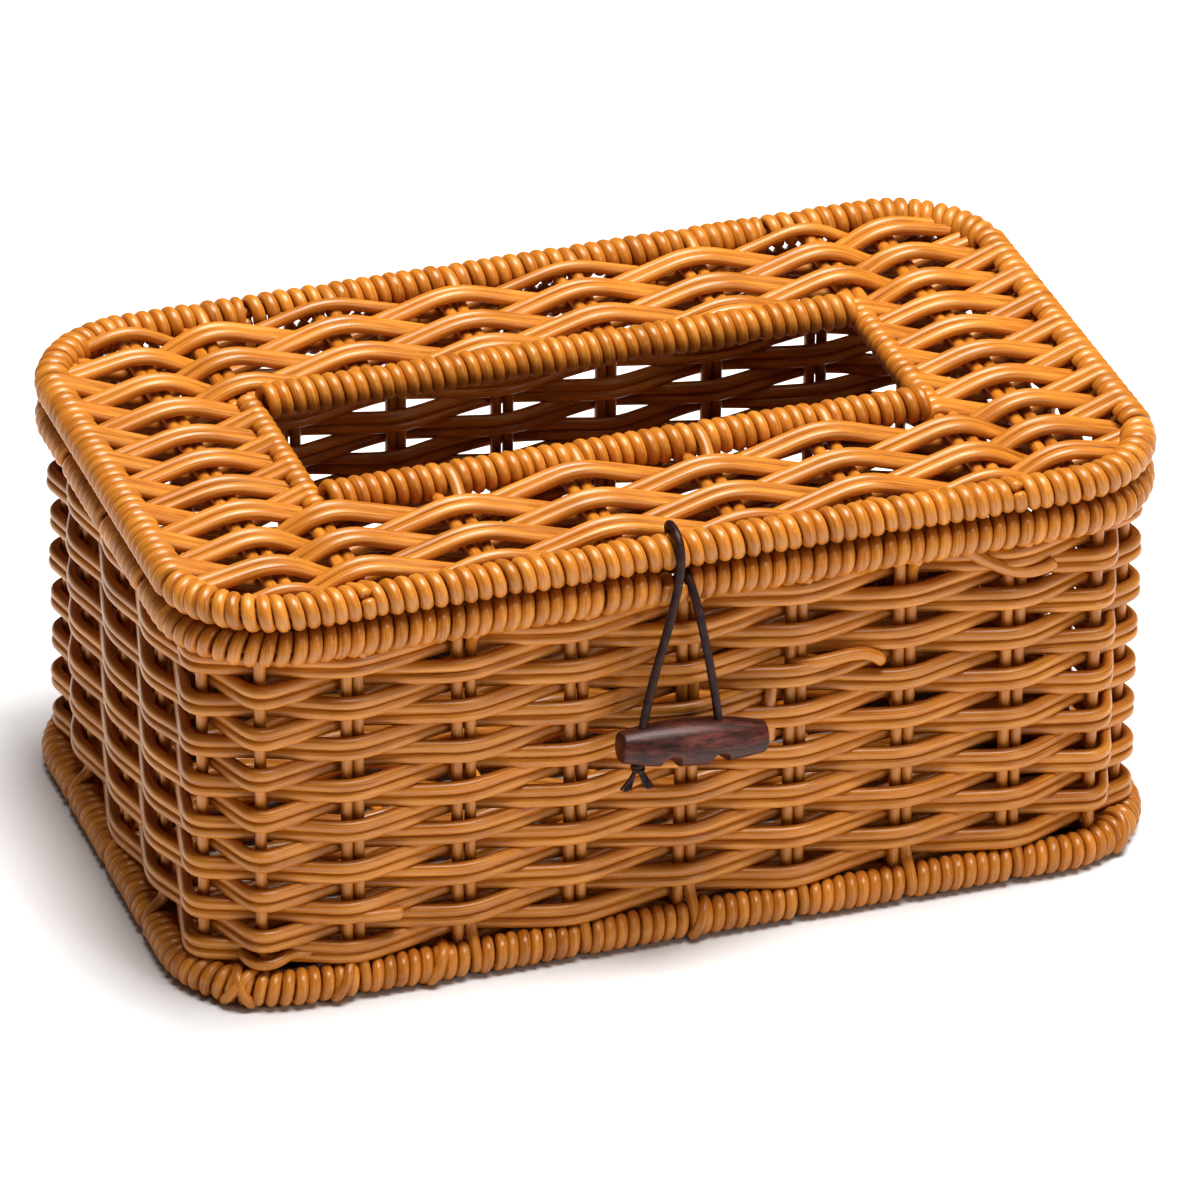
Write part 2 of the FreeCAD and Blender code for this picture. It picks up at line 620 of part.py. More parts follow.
def hinge_loop(label, side):
    body = doc.addObject("PartDesign::Body", label)
    path = body.newObject("Sketcher::SketchObject", "LoopPath")
    attach(path, body, "YZ_Plane")
    r, rise = at("loop_radius"), at("lid_z") - at("top_z")
    upper = Part.Circle(Vector(0, rise, 0), Vector(0, 0, 1), r)
    lower = Part.Circle(Vector(0, 0, 0), Vector(0, 0, 1), r)
    path.addGeometry(Part.LineSegment(Vector(r, 0, 0), Vector(r, rise, 0)))
    path.addGeometry(Part.ArcOfCircle(upper, 0, math.pi))
    path.addGeometry(Part.LineSegment(Vector(-r, rise, 0), Vector(-r, 0, 0)))
    path.addGeometry(Part.ArcOfCircle(lower, math.pi, 2 * math.pi))
    for edge in range(4):
        path.addConstraint(Sketcher.Constraint("Tangent", edge, 2, (edge + 1) % 4, 1))
    path.addConstraint(Sketcher.Constraint("Coincident", 3, 3, -1, 1))
    path.addConstraint(Sketcher.Constraint("Vertical", 0))
    constrain(path, "radius", "{loop_radius}", Sketcher.Constraint("Radius", 3, r))
    constrain(path, "rise", "{lid_z} - {top_z}", Sketcher.Constraint("DistanceY", 3, 3, 1, 3, rise))
    section = body.newObject("Sketcher::SketchObject", "LoopSection")
    attach(section, body, "XY_Plane")
    diameter = size("loop_diameter")
    section.addGeometry(Part.Circle(Vector(0, r, 0), Vector(0, 0, 1), diameter / 2))
    section.addConstraint(Sketcher.Constraint("PointOnObject", 0, 3, -2))
    constrain(section, "strand", "{loop_diameter}", Sketcher.Constraint("Diameter", 0, diameter))
    constrain(section, "reach", "{loop_radius}", Sketcher.Constraint("DistanceY", -1, 1, 0, 3, r))
    pipe = body.newObject("PartDesign::AdditivePipe", "LoopPipe")
    pipe.Profile = section
    pipe.Spine = (path, [])
    bind(body, Placement__Base__x=f"{side} * {{hinge_x}}", Placement__Base__y="{rim_y}",
         Placement__Base__z="{top_z}")
    return finished(body, label)


# Pull: a cord round the front rim of the lid, with a wooden toggle and a knot

def from_lid_rim(offset):
    return Vector(0, -at("rim_y"), at("lid_z")) + Vector(*offset)


def cord():
    """A tube of straight runs and tangent arcs along the cord's route."""
    points = [from_lid_rim(offset) for offset in CORD_ROUTE]
    edges = []
    radii = []
    start = points[0]
    for before, corner, after in zip(points, points[1:], points[2:]):
        back, on = before - corner, after - corner
        half_turn = (math.pi - back.getAngle(on)) / 2
        cut = CORD_ARC_SHARE * min(back.Length, on.Length)
        radius = cut / math.tan(half_turn)
        radii.append(round(radius, 1))
        first = corner + back.normalize() * cut
        last = corner + on.normalize() * cut
        inward = (back + on).normalize()
        middle = corner + inward * (radius / math.cos(half_turn) - radius)
        edges.append(Part.LineSegment(start, first).toShape())
        edges.append(Part.Arc(first, middle, last).toShape())
        start = last
    edges.append(Part.LineSegment(start, points[-1]).toShape())
    path = Part.Wire(edges)
    section_radius = size("cord_diameter") / 2
    section = Part.Wire(Part.makeCircle(section_radius, points[0], points[1] - points[0]))
    tube = path.makePipeShell([section], True, False)
    expected = math.pi * section_radius ** 2 * path.Length
    print(f"cord length {path.Length:.1f}, arc radii {radii}, volume {tube.Volume:.1f} of {expected:.1f}")
    woven("pull_cord", [tube])


def toggle():
    """A tapered wooden barrel with two cord holes through it and two notches carved in its lower front."""
    body = doc.addObject("PartDesign::Body", "toggle")
    half = size("toggle_length") / 2
    end = size("toggle_end_diameter") / 2
    middle = size("toggle_diameter") / 2
    profile = body.newObject("Sketcher::SketchObject", "ToggleProfile")
    attach(profile, body, "XZ_Plane")
    profile.addGeometry(Part.LineSegment(Vector(-half, 0, 0), Vector(-half, end, 0)))
    rise = middle - end
    crown = (half ** 2 + rise ** 2) / (2 * rise)
    spread = math.asin(half / crown)
    circle = Part.Circle(Vector(0, middle - crown, 0), Vector(0, 0, 1), crown)
    profile.addGeometry(Part.ArcOfCircle(circle, math.pi / 2 - spread, math.pi / 2 + spread))
    profile.addGeometry(Part.LineSegment(Vector(half, end, 0), Vector(half, 0, 0)))
    profile.addGeometry(Part.LineSegment(Vector(half, 0, 0), Vector(-half, 0, 0)))
    profile.addConstraint(Sketcher.Constraint("Coincident", 0, 2, 1, 2))
    profile.addConstraint(Sketcher.Constraint("Coincident", 1, 1, 2, 1))
    profile.addConstraint(Sketcher.Constraint("Coincident", 2, 2, 3, 1))
    profile.addConstraint(Sketcher.Constraint("Coincident", 3, 2, 0, 1))
    profile.addConstraint(Sketcher.Constraint("Vertical", 0))
    profile.addConstraint(Sketcher.Constraint("Vertical", 2))
    profile.addConstraint(Sketcher.Constraint("Symmetric", 0, 1, 2, 2, -1, 1))
    profile.addConstraint(Sketcher.Constraint("Horizontal", 3))
    profile.addConstraint(Sketcher.Constraint("Equal", 0, 2))
    constrain(profile, "half_length", "{toggle_length} / 2",
              Sketcher.Constraint("DistanceX", -1, 1, 2, 2, half))
    constrain(profile, "end_radius", "{toggle_end_diameter} / 2",
              Sketcher.Constraint("DistanceY", 0, 1, 0, 2, end))
    bulge = "({toggle_diameter} - {toggle_end_diameter}) / 2"
    constrain(profile, "crown", f"(({{toggle_length}} / 2) ^ 2 + ({bulge}) ^ 2) / (2 * {bulge})",
              Sketcher.Constraint("Radius", 1, crown))
    barrel = body.newObject("PartDesign::Revolution", "Barrel")
    barrel.Profile = profile
    barrel.ReferenceAxis = (profile, ["H_Axis"])
    barrel.Angle = 360
    doc.recompute()
    holes = body.newObject("Sketcher::SketchObject", "CordHoles")
    attach(holes, body, "XY_Plane")
    hole = size("toggle_hole_diameter")
    for index, name in ((1, "left"), (-2, "right")):
        x = CORD_ROUTE[index][0] - TOGGLE_PLACE[0]
        circle = holes.addGeometry(Part.Circle(Vector(x, 0, 0), Vector(0, 0, 1), hole / 2))
        holes.addConstraint(Sketcher.Constraint("PointOnObject", circle, 3, -1))
        holes.addConstraint(Sketcher.Constraint("DistanceX", -1, 1, circle, 3, x))
        constrain(holes, f"{name}_hole", "{toggle_hole_diameter}",
                  Sketcher.Constraint("Diameter", circle, hole))
    bored = body.newObject("PartDesign::Pocket", "CordBores")
    bored.Profile = holes
    bored.Type = "ThroughAll"
    bored.Midplane = True
    notches = body.newObject("Sketcher::SketchObject", "Notches")
    attach(notches, body, "XZ_Plane")
    notches.AttachmentOffset = Placement(Vector(0, 0, 0), Rotation(Vector(1, 0, 0), -size("notch_turn")))
    notch, spacing = size("notch_diameter"), size("notch_spacing")
    for side in (-1, 1):
        centre = Vector(side * spacing / 2, -middle, 0)
        circle = notches.addGeometry(Part.Circle(centre, Vector(0, 0, 1), notch / 2))
        constrain(notches, f"notch{circle}", "{notch_diameter}",
                  Sketcher.Constraint("Diameter", circle, notch))
        constrain(notches, f"drop{circle}", "{toggle_diameter} / 2",
                  Sketcher.Constraint("DistanceY", circle, 3, -1, 1, middle))
    constrain(notches, "spread", "{notch_spacing}",
              Sketcher.Constraint("DistanceX", 0, 3, 1, 3, spacing))
    constrain(notches, "right", "{notch_spacing} / 2",
              Sketcher.Constraint("DistanceX", -1, 1, 1, 3, spacing / 2))
    carved = body.newObject("PartDesign::Pocket", "CarvedNotches")
    carved.Profile = notches
    carved.Type = "ThroughAll"
    carved.Midplane = True
    body.Placement = Placement(from_lid_rim(TOGGLE_PLACE), Rotation(Vector(0, 1, 0), size("toggle_tilt")))
    bind(body, Placement__Rotation__Angle="{toggle_tilt} * 1deg")
    finished(body, "toggle")


def knot():
    """The knot at the foot of the left leg, with the two cord ends that spread below it."""
    ball = doc.addObject("Part::Sphere", "KnotBall")
    bind(ball, Radius="{knot_diameter} / 2")
    pieces = [ball]
    for lean in TAIL_LEANS:
        tail = doc.addObject("Part::Cone", "CordEnd")
        tail.Placement = Placement(Vector(0, 0, 0), Rotation(Vector(0, 1, 0), 180 + lean))
        bind(tail, Radius1="{cord_diameter} / 2", Radius2="{cord_diameter} / 2 * {tail_flare}",
             Height="{knot_diameter} / 2 + {tail_length}")
        pieces.append(tail)
    fused = doc.addObject("Part::MultiFuse", "cord_knot")
    fused.Shapes = pieces
    fused.Placement = Placement(from_lid_rim(CORD_ROUTE[0]), Rotation())
    finished(fused, "cord_knot")


loop_gap = size("loop_diameter") + 2 * size("swing_gap")
hinge_gaps = [(side * at("hinge_x"), loop_gap) for side in (-1, 1)]
cord_gaps = [(size("cord_middle"), size("cord_gap"))]

core("base_core", "{foot_z}")
rim_wraps("base", at("foot_z"), flat=True)
floor()
wall_stakes("front_stakes", "x", LONG_STAKES, "long_step", "corner_x", "wall_y", -1)
wall_stakes("back_stakes", "x", LONG_STAKES, "long_step", "corner_x", "wall_y", 1)
wall_stakes("left_stakes", "y", SHORT_STAKES, "short_step", "corner_y", "wall_x", -1)
wall_stakes("right_stakes", "y", SHORT_STAKES, "short_step", "corner_y", "wall_x", 1)
weave_walls()
core("top_core", "{top_z}")
rim_wraps("top", at("top_z"), front_gaps=cord_gaps, back_gaps=hinge_gaps)
hinge_loop("hinge_loop_left", -1)
hinge_loop("hinge_loop_right", 1)
core("lid_core", "{lid_z}")
rim_wraps("lid", at("lid_z"), back_gaps=hinge_gaps)
lid_stakes()
slot_frame()
lid_weave()
cord()
knot()
toggle()
doc.recompute()

for obj in doc.Objects:
    if "Invalid" in obj.State or "Error" in obj.State:
        raise RuntimeError(f"{obj.Label} did not build: {obj.State}")
for obj in sub_parts:
    if obj.Shape.isNull() or not obj.Shape.isValid():
        raise RuntimeError(f"{obj.Label} has no valid shape")

os.makedirs("parts", exist_ok=True)
for obj in sub_parts:
    obj.Shape.exportStep(os.path.join("parts", obj.Label + ".step"))
print(len(sub_parts), "sub-parts,", sum(len(obj.Shape.Solids) for obj in sub_parts), "solids")
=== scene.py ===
import math

import bpy
import numpy as np
from mathutils import Matrix, Vector


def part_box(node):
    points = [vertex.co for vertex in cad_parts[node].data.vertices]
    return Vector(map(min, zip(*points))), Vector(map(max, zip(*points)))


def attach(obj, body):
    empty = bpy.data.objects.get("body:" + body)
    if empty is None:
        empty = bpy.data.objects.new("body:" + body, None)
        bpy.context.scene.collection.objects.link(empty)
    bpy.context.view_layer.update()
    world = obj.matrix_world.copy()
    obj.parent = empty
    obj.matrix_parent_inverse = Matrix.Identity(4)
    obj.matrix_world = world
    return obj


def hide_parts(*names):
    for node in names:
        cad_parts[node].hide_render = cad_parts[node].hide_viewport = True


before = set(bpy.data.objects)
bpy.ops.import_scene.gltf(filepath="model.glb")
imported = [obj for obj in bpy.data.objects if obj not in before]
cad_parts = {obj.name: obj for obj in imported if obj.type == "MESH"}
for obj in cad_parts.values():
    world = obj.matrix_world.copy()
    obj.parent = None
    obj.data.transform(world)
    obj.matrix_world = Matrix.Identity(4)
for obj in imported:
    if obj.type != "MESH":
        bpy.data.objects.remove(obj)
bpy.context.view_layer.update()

# Looks of a woven tissue box cover: round strands, wound rims, a wooden toggle and its cord.
# Lengths are millimetres until a mesh or an object is made.
MM = 0.001
scene = bpy.context.scene
chance = np.random.default_rng(7)

# Camera, fitted to the outlines of the rims in the photograph
VIEW_AZIMUTH = -19.38
VIEW_ELEVATION = 30.05
VIEW_ROLL = 0.62
VIEW_DISTANCE = 2522.5
VIEW_MIDDLE = Vector((0, 0, 60))
VIEW_SHIFT = (2.29, -3.77)
LENS = 300
SENSOR = 36

# Strands and rods, by their width along the piece that they cover and their depth through it
WALL_STRAND = (3.3, 3.2)
LID_STRAND = (3.35, 3.2)
TURN = (3.5, 3.1)
BASE_TURN = (3.2, 3.1)
SLOT_TURN = (3.25, 3.0)
LASHING = (2.9, 2.7)
STAKE = 3.0
LID_ROD = (STAKE + 0.4, STAKE)

# Distances between neighbours: of turns, of a rod and the middle of its pair, of twin strands
RIM_PITCH = 3.6
BASE_PITCH = 3.25
SLOT_PITCH = 3.3
PAIR = STAKE / 2 + 0.05
LID_TWIN = LID_STRAND[0] + 0.15
FLOOR_TWIN = LID_STRAND[0] + 0.1
HINGE_HALF = STAKE / 2 + 0.3

# Half the stretch over which a strand bends, and its play over the rods
WALL_BEND = 4.5
LID_BEND = 5.5
FLOOR_BEND = 6.0
WALL_SLACK = 0.05
LID_SLACK = 0.8
FLOOR_SLACK = 0.1

# How uneven the work is: shares of a strand's reach or tone, and millimetres of drift
ROW_UNEVEN = 0.05
TWIN_UNEVEN = 0.02
LID_UNEVEN = 0.05
TONE_UNEVEN = 0.06
ROW_SWAY = 0.16
TWIN_SWAY = 0.06
SWAY_WAVES = (5, 8, 13, 21)
LID_SWAY = 0.12
LID_SWAY_WAVE = 31
LID_SWAY_START = 6
STAKE_SWAY = 0.25
STAKE_SWAY_WAVE = 50
ROD_SWAY = 0.3
ROD_SWAY_WAVE = 30
TURN_SHIFT = 0.1
TURN_SINK = 0.08
SLOT_TURN_SWELL = 0.06
ROD_TONE = -0.03

# How finely lines are drawn: points round a strand and along others, steps along them, passes of fitting
SIDES = 12
TURN_POINTS = 24
STAKE_POINTS = 30
ROD_POINTS = 12
EASE_POINTS = 9
ARC_STEP = 16
WALL_STEP = 1.55
LID_STEP = 1.7
FLOOR_STEP = 3.0
FITTING = 4

# Counts of the weave, as in the frame
SIDE_NAMES = ("front", "right", "back", "left")
SIDE_STAKES = (7, 3, 7, 3)
WALL_ROWS = 15
CORNER_STAKE_ANGLE = 25
CORNER_STEP = 0.8
LID_ROWS = (("front", 5), ("middle", 9), ("back", 5))
SLOT_STAKES = 4
FLOOR_ROWS = 18

# Route of the cord's middle, told from the middle of the lid's front rim as in the part
CORD_ROUTE = (
    (-16.8, -9.65, -55.05),
    (-16.2, -9.55, -41.25),
    (-5.4, -6.65, -7.25),
    (-5.0, -6.15, 6.15),
    (-4.9, 6.15, 6.15),
    (-2.1, 6.15, -6.15),
    (-1.8, -6.15, -6.15),
    (4.2, -9.55, -41.25),
    (4.5, -9.65, -50.45),
)
CORD_DIAMETER = 2.2


def box(node):
    """Lowest and highest corner of a CAD node, in millimetres."""
    low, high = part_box(node)
    return np.array(low) / MM, np.array(high) / MM


def middle_of(node):
    return sum(box(node)) / 2


def extent_of(node):
    low, high = box(node)
    return high - low


# Places of the rims, the walls and the slot, read from the frame
RIM_RADIUS = extent_of("lid_wrap_front")[2] / 2
RIM_X = middle_of("lid_wrap_right")[0]
RIM_Y = -middle_of("lid_wrap_front")[1]
LID_Z = middle_of("lid_wrap_front")[2]
CORNER = RIM_X - box("lid_wrap_front")[1][0]
TOP_Z = box("top_wrap_right")[1][2] - RIM_RADIUS
FOOT_Z = RIM_RADIUS
RIM_MIDDLE = (0, -RIM_Y, LID_Z)
stakes_low, stakes_high = box("front_stakes")
WALL_X = box("right_stakes")[1][0] - STAKE / 2
WALL_Y = -stakes_low[1] - STAKE / 2
WALL_BOTTOM = stakes_low[2]
WALL_TOP = stakes_high[2]
ROWS_BOTTOM = WALL_BOTTOM + 0.9
WALL_RADIUS = CORNER - (RIM_Y - WALL_Y)
SIDE_RADIUS = extent_of("slot_wrap_right")[0] / 2
SLOT_X = middle_of("slot_wrap_right")[0]
LID_WEAVE_Z = middle_of("slot_wrap_right")[2]
SLOT_RADIUS = extent_of("slot_wrap_front")[2] / 2
SLOT_Z = middle_of("slot_wrap_front")[2]
SLOT_FRONT = middle_of("slot_wrap_front")[1]
SLOT_BACK = box("slot_wrap_back")[1][1] - SLOT_RADIUS
LID_EDGE = box("lid_weave_back")[1][1]
HINGE_X = middle_of("hinge_loop_right")[0]
LOOP_RADIUS = (extent_of("hinge_loop_right")[1] - STAKE) / 2
FLOOR_Z = middle_of("floor_stakes")[2]
FLOOR_EDGE = box("floor_weave")[1][1]
UP = np.array([0.0, 0.0, 1.0])
ALONG = np.array([1.0, 0.0, 0.0])
ACROSS = np.array([0.0, 1.0, 0.0])


def make_camera():
    azimuth, elevation, roll = (math.radians(a) for a in (VIEW_AZIMUTH, VIEW_ELEVATION, VIEW_ROLL))
    back = Vector((math.sin(azimuth) * math.cos(elevation),
                   -math.cos(azimuth) * math.cos(elevation), math.sin(elevation)))
    right = Vector((math.cos(azimuth), math.sin(azimuth), 0))
    up = back.cross(right)
    place = VIEW_MIDDLE + back * VIEW_DISTANCE + right * VIEW_SHIFT[0] + up * VIEW_SHIFT[1]
    level = right * math.cos(roll) + up * math.sin(roll)
    upright = up * math.cos(roll) - right * math.sin(roll)
    data = bpy.data.cameras.new("camera")
    data.lens = LENS
    data.sensor_width = SENSOR
    data.clip_end = 100
    camera = bpy.data.objects.new("camera", data)
    scene.collection.objects.link(camera)
    turned = Matrix((level, upright, back)).transposed()
    camera.matrix_world = Matrix.Translation(place * MM) @ turned.to_4x4()
    scene.camera = camera


# Materials

CANE_LIGHT = (0.66, 0.285, 0.046)
CANE_MIDDLE = (0.50, 0.182, 0.020)
CANE_DARK = (0.30, 0.085, 0.007)
CANE_ROUGHNESS = 0.34


def new_material(name, roughness, specular=0.5):
    material = bpy.data.materials.new(name)
    material.use_nodes = True
    shader = material.node_tree.nodes["Principled BSDF"]
    shader.inputs["Roughness"].default_value = roughness
    shader.inputs["Specular IOR Level"].default_value = specular
    return material, shader


def add_node(material, kind, **inputs):
    """A new shader node; inputs are set by name, or linked where the value is a socket."""
    node = material.node_tree.nodes.new(kind)
    for name, value in inputs.items():
        socket = node.inputs[name.replace("_", " ")]
        if isinstance(value, bpy.types.NodeSocket):
            material.node_tree.links.new(value, socket)
        else:
            socket.default_value = value
    return node


def link(material, output, target):
    material.node_tree.links.new(output, target)


def object_place(material):
    return add_node(material, "ShaderNodeTexCoord").outputs["Object"]


def attribute(material, name, output):
    node = add_node(material, "ShaderNodeAttribute")
    node.attribute_name = name
    return node.outputs[output]


def vector_math(material, operation, vector, other=(0, 0, 0)):
    node = add_node(material, "ShaderNodeVectorMath", Vector=vector)
    node.operation = operation
    node.inputs[1].default_value = other
    return node.outputs["Value" if operation == "LENGTH" else "Vector"]


def noise(material, vector, scale, detail, **more):
    node = add_node(material, "ShaderNodeTexNoise", Vector=vector, Scale=scale, Detail=detail, **more)
    return node.outputs["Fac"]


def ramp(material, factor, *stops):
    node = add_node(material, "ShaderNodeValToRGB", Fac=factor)
    colours = node.color_ramp.elements
    while len(colours) < len(stops):
        colours.new(0.5)
    for element, (position, colour) in zip(colours, stops):
        element.position = position
        element.color = (*colour, 1)
    return node.outputs["Color"]


def mixed(material, factor, one, other, way="MIX"):
    node = add_node(material, "ShaderNodeMixRGB", Fac=factor, Color1=one, Color2=other)
    node.blend_type = way
    return node.outputs["Color"]


def roughen(material, shader, height, strength, depth):
    """Bumps of a depth in millimetres."""
    bump = add_node(material, "ShaderNodeBump", Height=height, Strength=strength, Distance=depth * MM)
    link(material, bump.outputs["Normal"], shader.inputs["Normal"])


def cane_material():
    """Extruded cane: fine streaks along each strand, a tone of its own for each strand."""
    material, shader = new_material("cane", CANE_ROUGHNESS, 0.6)
    mark = attribute(material, "strand", "Vector")
    tone = attribute(material, "tone", "Fac")
    streaks = noise(material, vector_math(material, "MULTIPLY", mark, (5.0, 5.0, 0.05)), 1.0, 4.0)
    patches = noise(material, vector_math(material, "MULTIPLY", mark, (0.7, 0.7, 0.07)), 1.0, 2.0)
    streaked = ramp(material, streaks, (0.32, CANE_DARK), (0.5, CANE_MIDDLE), (0.7, CANE_LIGHT))
    patched = ramp(material, patches, (0.3, CANE_DARK), (0.5, CANE_MIDDLE), (0.72, CANE_LIGHT))
    blend = mixed(material, 0.45, streaked, patched)
    toned = add_node(material, "ShaderNodeHueSaturation", Color=blend, Value=tone)
    link(material, toned.outputs["Color"], shader.inputs["Base Color"])
    gloss = add_node(material, "ShaderNodeMapRange", Value=streaks, From_Min=0.3, From_Max=0.7,
                     To_Min=CANE_ROUGHNESS - 0.06, To_Max=CANE_ROUGHNESS + 0.10)
    link(material, gloss.outputs["Result"], shader.inputs["Roughness"])
    roughen(material, shader, streaks, 0.25, 0.12)
    return material


def core_material():
    """Rods inside the rims, which show only between the turns."""
    material, shader = new_material("core_cane", 0.5)
    patches = noise(material, object_place(material), 160.0, 3.0)
    colour = ramp(material, patches, (0.3, CANE_DARK), (0.7, CANE_MIDDLE))
    link(material, colour, shader.inputs["Base Color"])
    return material


def wood_material():
    """Dark waxed wood with grain along the toggle and a few open pores."""
    material, shader = new_material("toggle_wood", 0.4, 0.35)
    stretch = add_node(material, "ShaderNodeMapping", Vector=object_place(material), Scale=(90, 420, 420),
                       Rotation=(0, 0, 0.12))
    stretched = stretch.outputs["Vector"]
    warp = noise(material, stretched, 0.6, 3.0, Distortion=1.4)
    grain = noise(material, stretched, 2.6, 6.0, Roughness=0.65)
    figure = ramp(material, warp, (0.3, (0.030, 0.008, 0.006)), (0.5, (0.095, 0.023, 0.015)),
                  (0.72, (0.20, 0.052, 0.032)))
    pores = ramp(material, grain, (0.35, (0.25, 0.22, 0.2)), (0.6, (1, 1, 1)))
    link(material, mixed(material, 1.0, figure, pores, "MULTIPLY"), shader.inputs["Base Color"])
    roughen(material, shader, grain, 0.35, 0.25)
    return material


def leather_material():
    """Dark round leather cord, a little rubbed."""
    material, shader = new_material("cord_leather", 0.48, 0.25)
    where = object_place(material)
    wear = noise(material, where, 420.0, 4.0)
    grain = add_node(material, "ShaderNodeTexVoronoi", Vector=where, Scale=1900.0)
    colour = ramp(material, wear, (0.35, (0.014, 0.005, 0.004)), (0.65, (0.05, 0.018, 0.013)))
    link(material, colour, shader.inputs["Base Color"])
    roughen(material, shader, grain.outputs["Distance"], 0.35, 0.1)
    return material


# Strands as meshes

# Rounded ends as shares of a strand's size, and the range of places where its streaks start
END_REACH = 0.2
END_TAPER = 0.72
STREAK_RANGE = 9000


def quads(rings, after):
    """Faces between rings of points and the rings after them."""
    corners = [rings, after, np.roll(after, -1, axis=1), np.roll(rings, -1, axis=1)]
    return np.stack(corners, axis=2).reshape(-1, 4).tolist()


def smooth_mesh(name, points, faces, material):
    mesh = bpy.data.meshes.new(name)
    mesh.from_pydata((points * MM).tolist(), [], faces)
    mesh.polygons.foreach_set("use_smooth", np.ones(len(mesh.polygons), bool))
    mesh.materials.append(material)
    return mesh


class Strands:
    """Gathers tubes along paths into one mesh, whose points know where on their strand they are."""

    def __init__(self):
        self.points = []
        self.faces = []
        self.marks = []
        self.tones = []
        self.count = 0

    def add(self, path, reference, size, closed=False, tone=0.0):
        """A tube along path; size is its width along the reference and its depth across it."""
        path = np.asarray(path, float)
        if closed:
            ahead = np.roll(path, -1, axis=0) - np.roll(path, 1, axis=0)
        else:
            first = path[0] - path[1]
            last = path[-1] - path[-2]
            reach = END_REACH * size[1]
            start = path[0] + first / np.linalg.norm(first) * reach
            end = path[-1] + last / np.linalg.norm(last) * reach
            path = np.vstack([start, path, end])
            ahead = np.gradient(path, axis=0)
            if np.ndim(reference) == 2:
                reference = np.vstack([reference[:1], reference, reference[-1:]])
        ahead /= np.linalg.norm(ahead, axis=1)[:, None]
        side = np.cross(ahead, reference)
        side /= np.linalg.norm(side, axis=1)[:, None]
        up = np.cross(side, ahead)
        swell = np.ones(len(path))
        if not closed:
            swell[[0, -1]] = END_TAPER
        angle = np.arange(SIDES) * 2 * math.pi / SIDES
        across = side[:, None, :] * (np.cos(angle) * size[1] / 2)[None, :, None]
        over = up[:, None, :] * (np.sin(angle) * size[0] / 2)[None, :, None]
        rings = path[:, None, :] + (across + over) * swell[:, None, None]
        steps = np.linalg.norm(np.diff(path, axis=0), axis=1)
        along = np.concatenate([[0], np.cumsum(steps)]) + chance.uniform(0, STREAK_RANGE)
        turn = np.stack([np.cos(angle), np.sin(angle)], axis=1)
        mark = np.concatenate([np.tile(turn[None], (len(path), 1, 1)),
                               np.tile(along[:, None, None], (1, SIDES, 1))], axis=2)
        self.points.append(rings.reshape(-1, 3))
        self.marks.append(mark.reshape(-1, 3))
        value = 1 + TONE_UNEVEN * np.clip(chance.normal(), -2, 2) + tone
        self.tones.append(np.full(len(path) * SIDES, value))
        index = np.arange(len(path) * SIDES).reshape(len(path), SIDES) + self.count
        after = np.roll(index, -1, axis=0)
        if not closed:
            self.faces += [index[0].tolist(), index[-1][::-1].tolist()]
            index, after = index[:-1], after[:-1]
        self.faces += quads(index, after)
        self.count += len(path) * SIDES

    def make(self, name, body, material, nodes):
        mesh = smooth_mesh(name, np.vstack(self.points), self.faces, material)
        strand = mesh.attributes.new("strand", "FLOAT_VECTOR", "POINT")
        strand.data.foreach_set("vector", np.vstack(self.marks).astype(np.float32).ravel())
        tone = mesh.attributes.new("tone", "FLOAT", "POINT")
        tone.data.foreach_set("value", np.concatenate(self.tones).astype(np.float32))
        return placed(bpy.data.objects.new(name, mesh), body, nodes)


def placed(piece, body, nodes):
    """Links a piece, and says what it rides on and which nodes it stands for."""
    scene.collection.objects.link(piece)
    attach(piece, body)
    if nodes:
        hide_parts(*nodes)
    return piece


# Lines

class Loop:
    """A rounded rectangle seen from above, run anticlockwise from the left end of its front."""

    def __init__(self, half_x, half_y, radius):
        self.radius = radius
        self.straight = np.array([half_x - radius, half_y - radius])
        bend = radius * math.pi / 2
        x, y = self.straight
        self.starts = np.concatenate([[0], np.cumsum([2 * x, bend, 2 * y, bend] * 2)])
        self.length = self.starts[-1]
        self.corners = np.array([(-x, -y), (x, -y), (x, y), (-x, y), (-x, -y)])

    def legs(self, run):
        """Numbers of the stretches at distances along the loop; the odd ones are its corners."""
        return np.clip(np.searchsorted(self.starts, np.mod(run, self.length), side="right") - 1, 0, 7)

    def places(self, run):
        """Places and outward directions at distances along the loop."""
        leg = self.legs(run)
        past = np.mod(run, self.length) - self.starts[leg]
        bent = leg % 2
        angle = (leg // 2 - 1) * math.pi / 2 + bent * past / self.radius
        out = np.stack([np.cos(angle), np.sin(angle)], axis=-1)
        ahead = np.stack([-out[..., 1], out[..., 0]], axis=-1)
        straight = ahead * ((1 - bent) * past)[..., None]
        place = self.corners[leg // 2 + bent] + self.radius * out + straight
        return place, out

    def middle(self, side):
        """Distance along the loop of the middle of a side."""
        return (self.starts[2 * side] + self.starts[2 * side + 1]) / 2


rim_loop = Loop(RIM_X, RIM_Y, CORNER)
wall_loop = Loop(WALL_X, WALL_Y, WALL_RADIUS)


def eased(run, stops, heights, bend, period=None):
    """A zigzag through heights at stops, with its bends rounded."""
    shifts = np.linspace(-bend, bend, EASE_POINTS)
    return np.mean([np.interp(run + shift, stops, heights, period=period) for shift in shifts], axis=0)


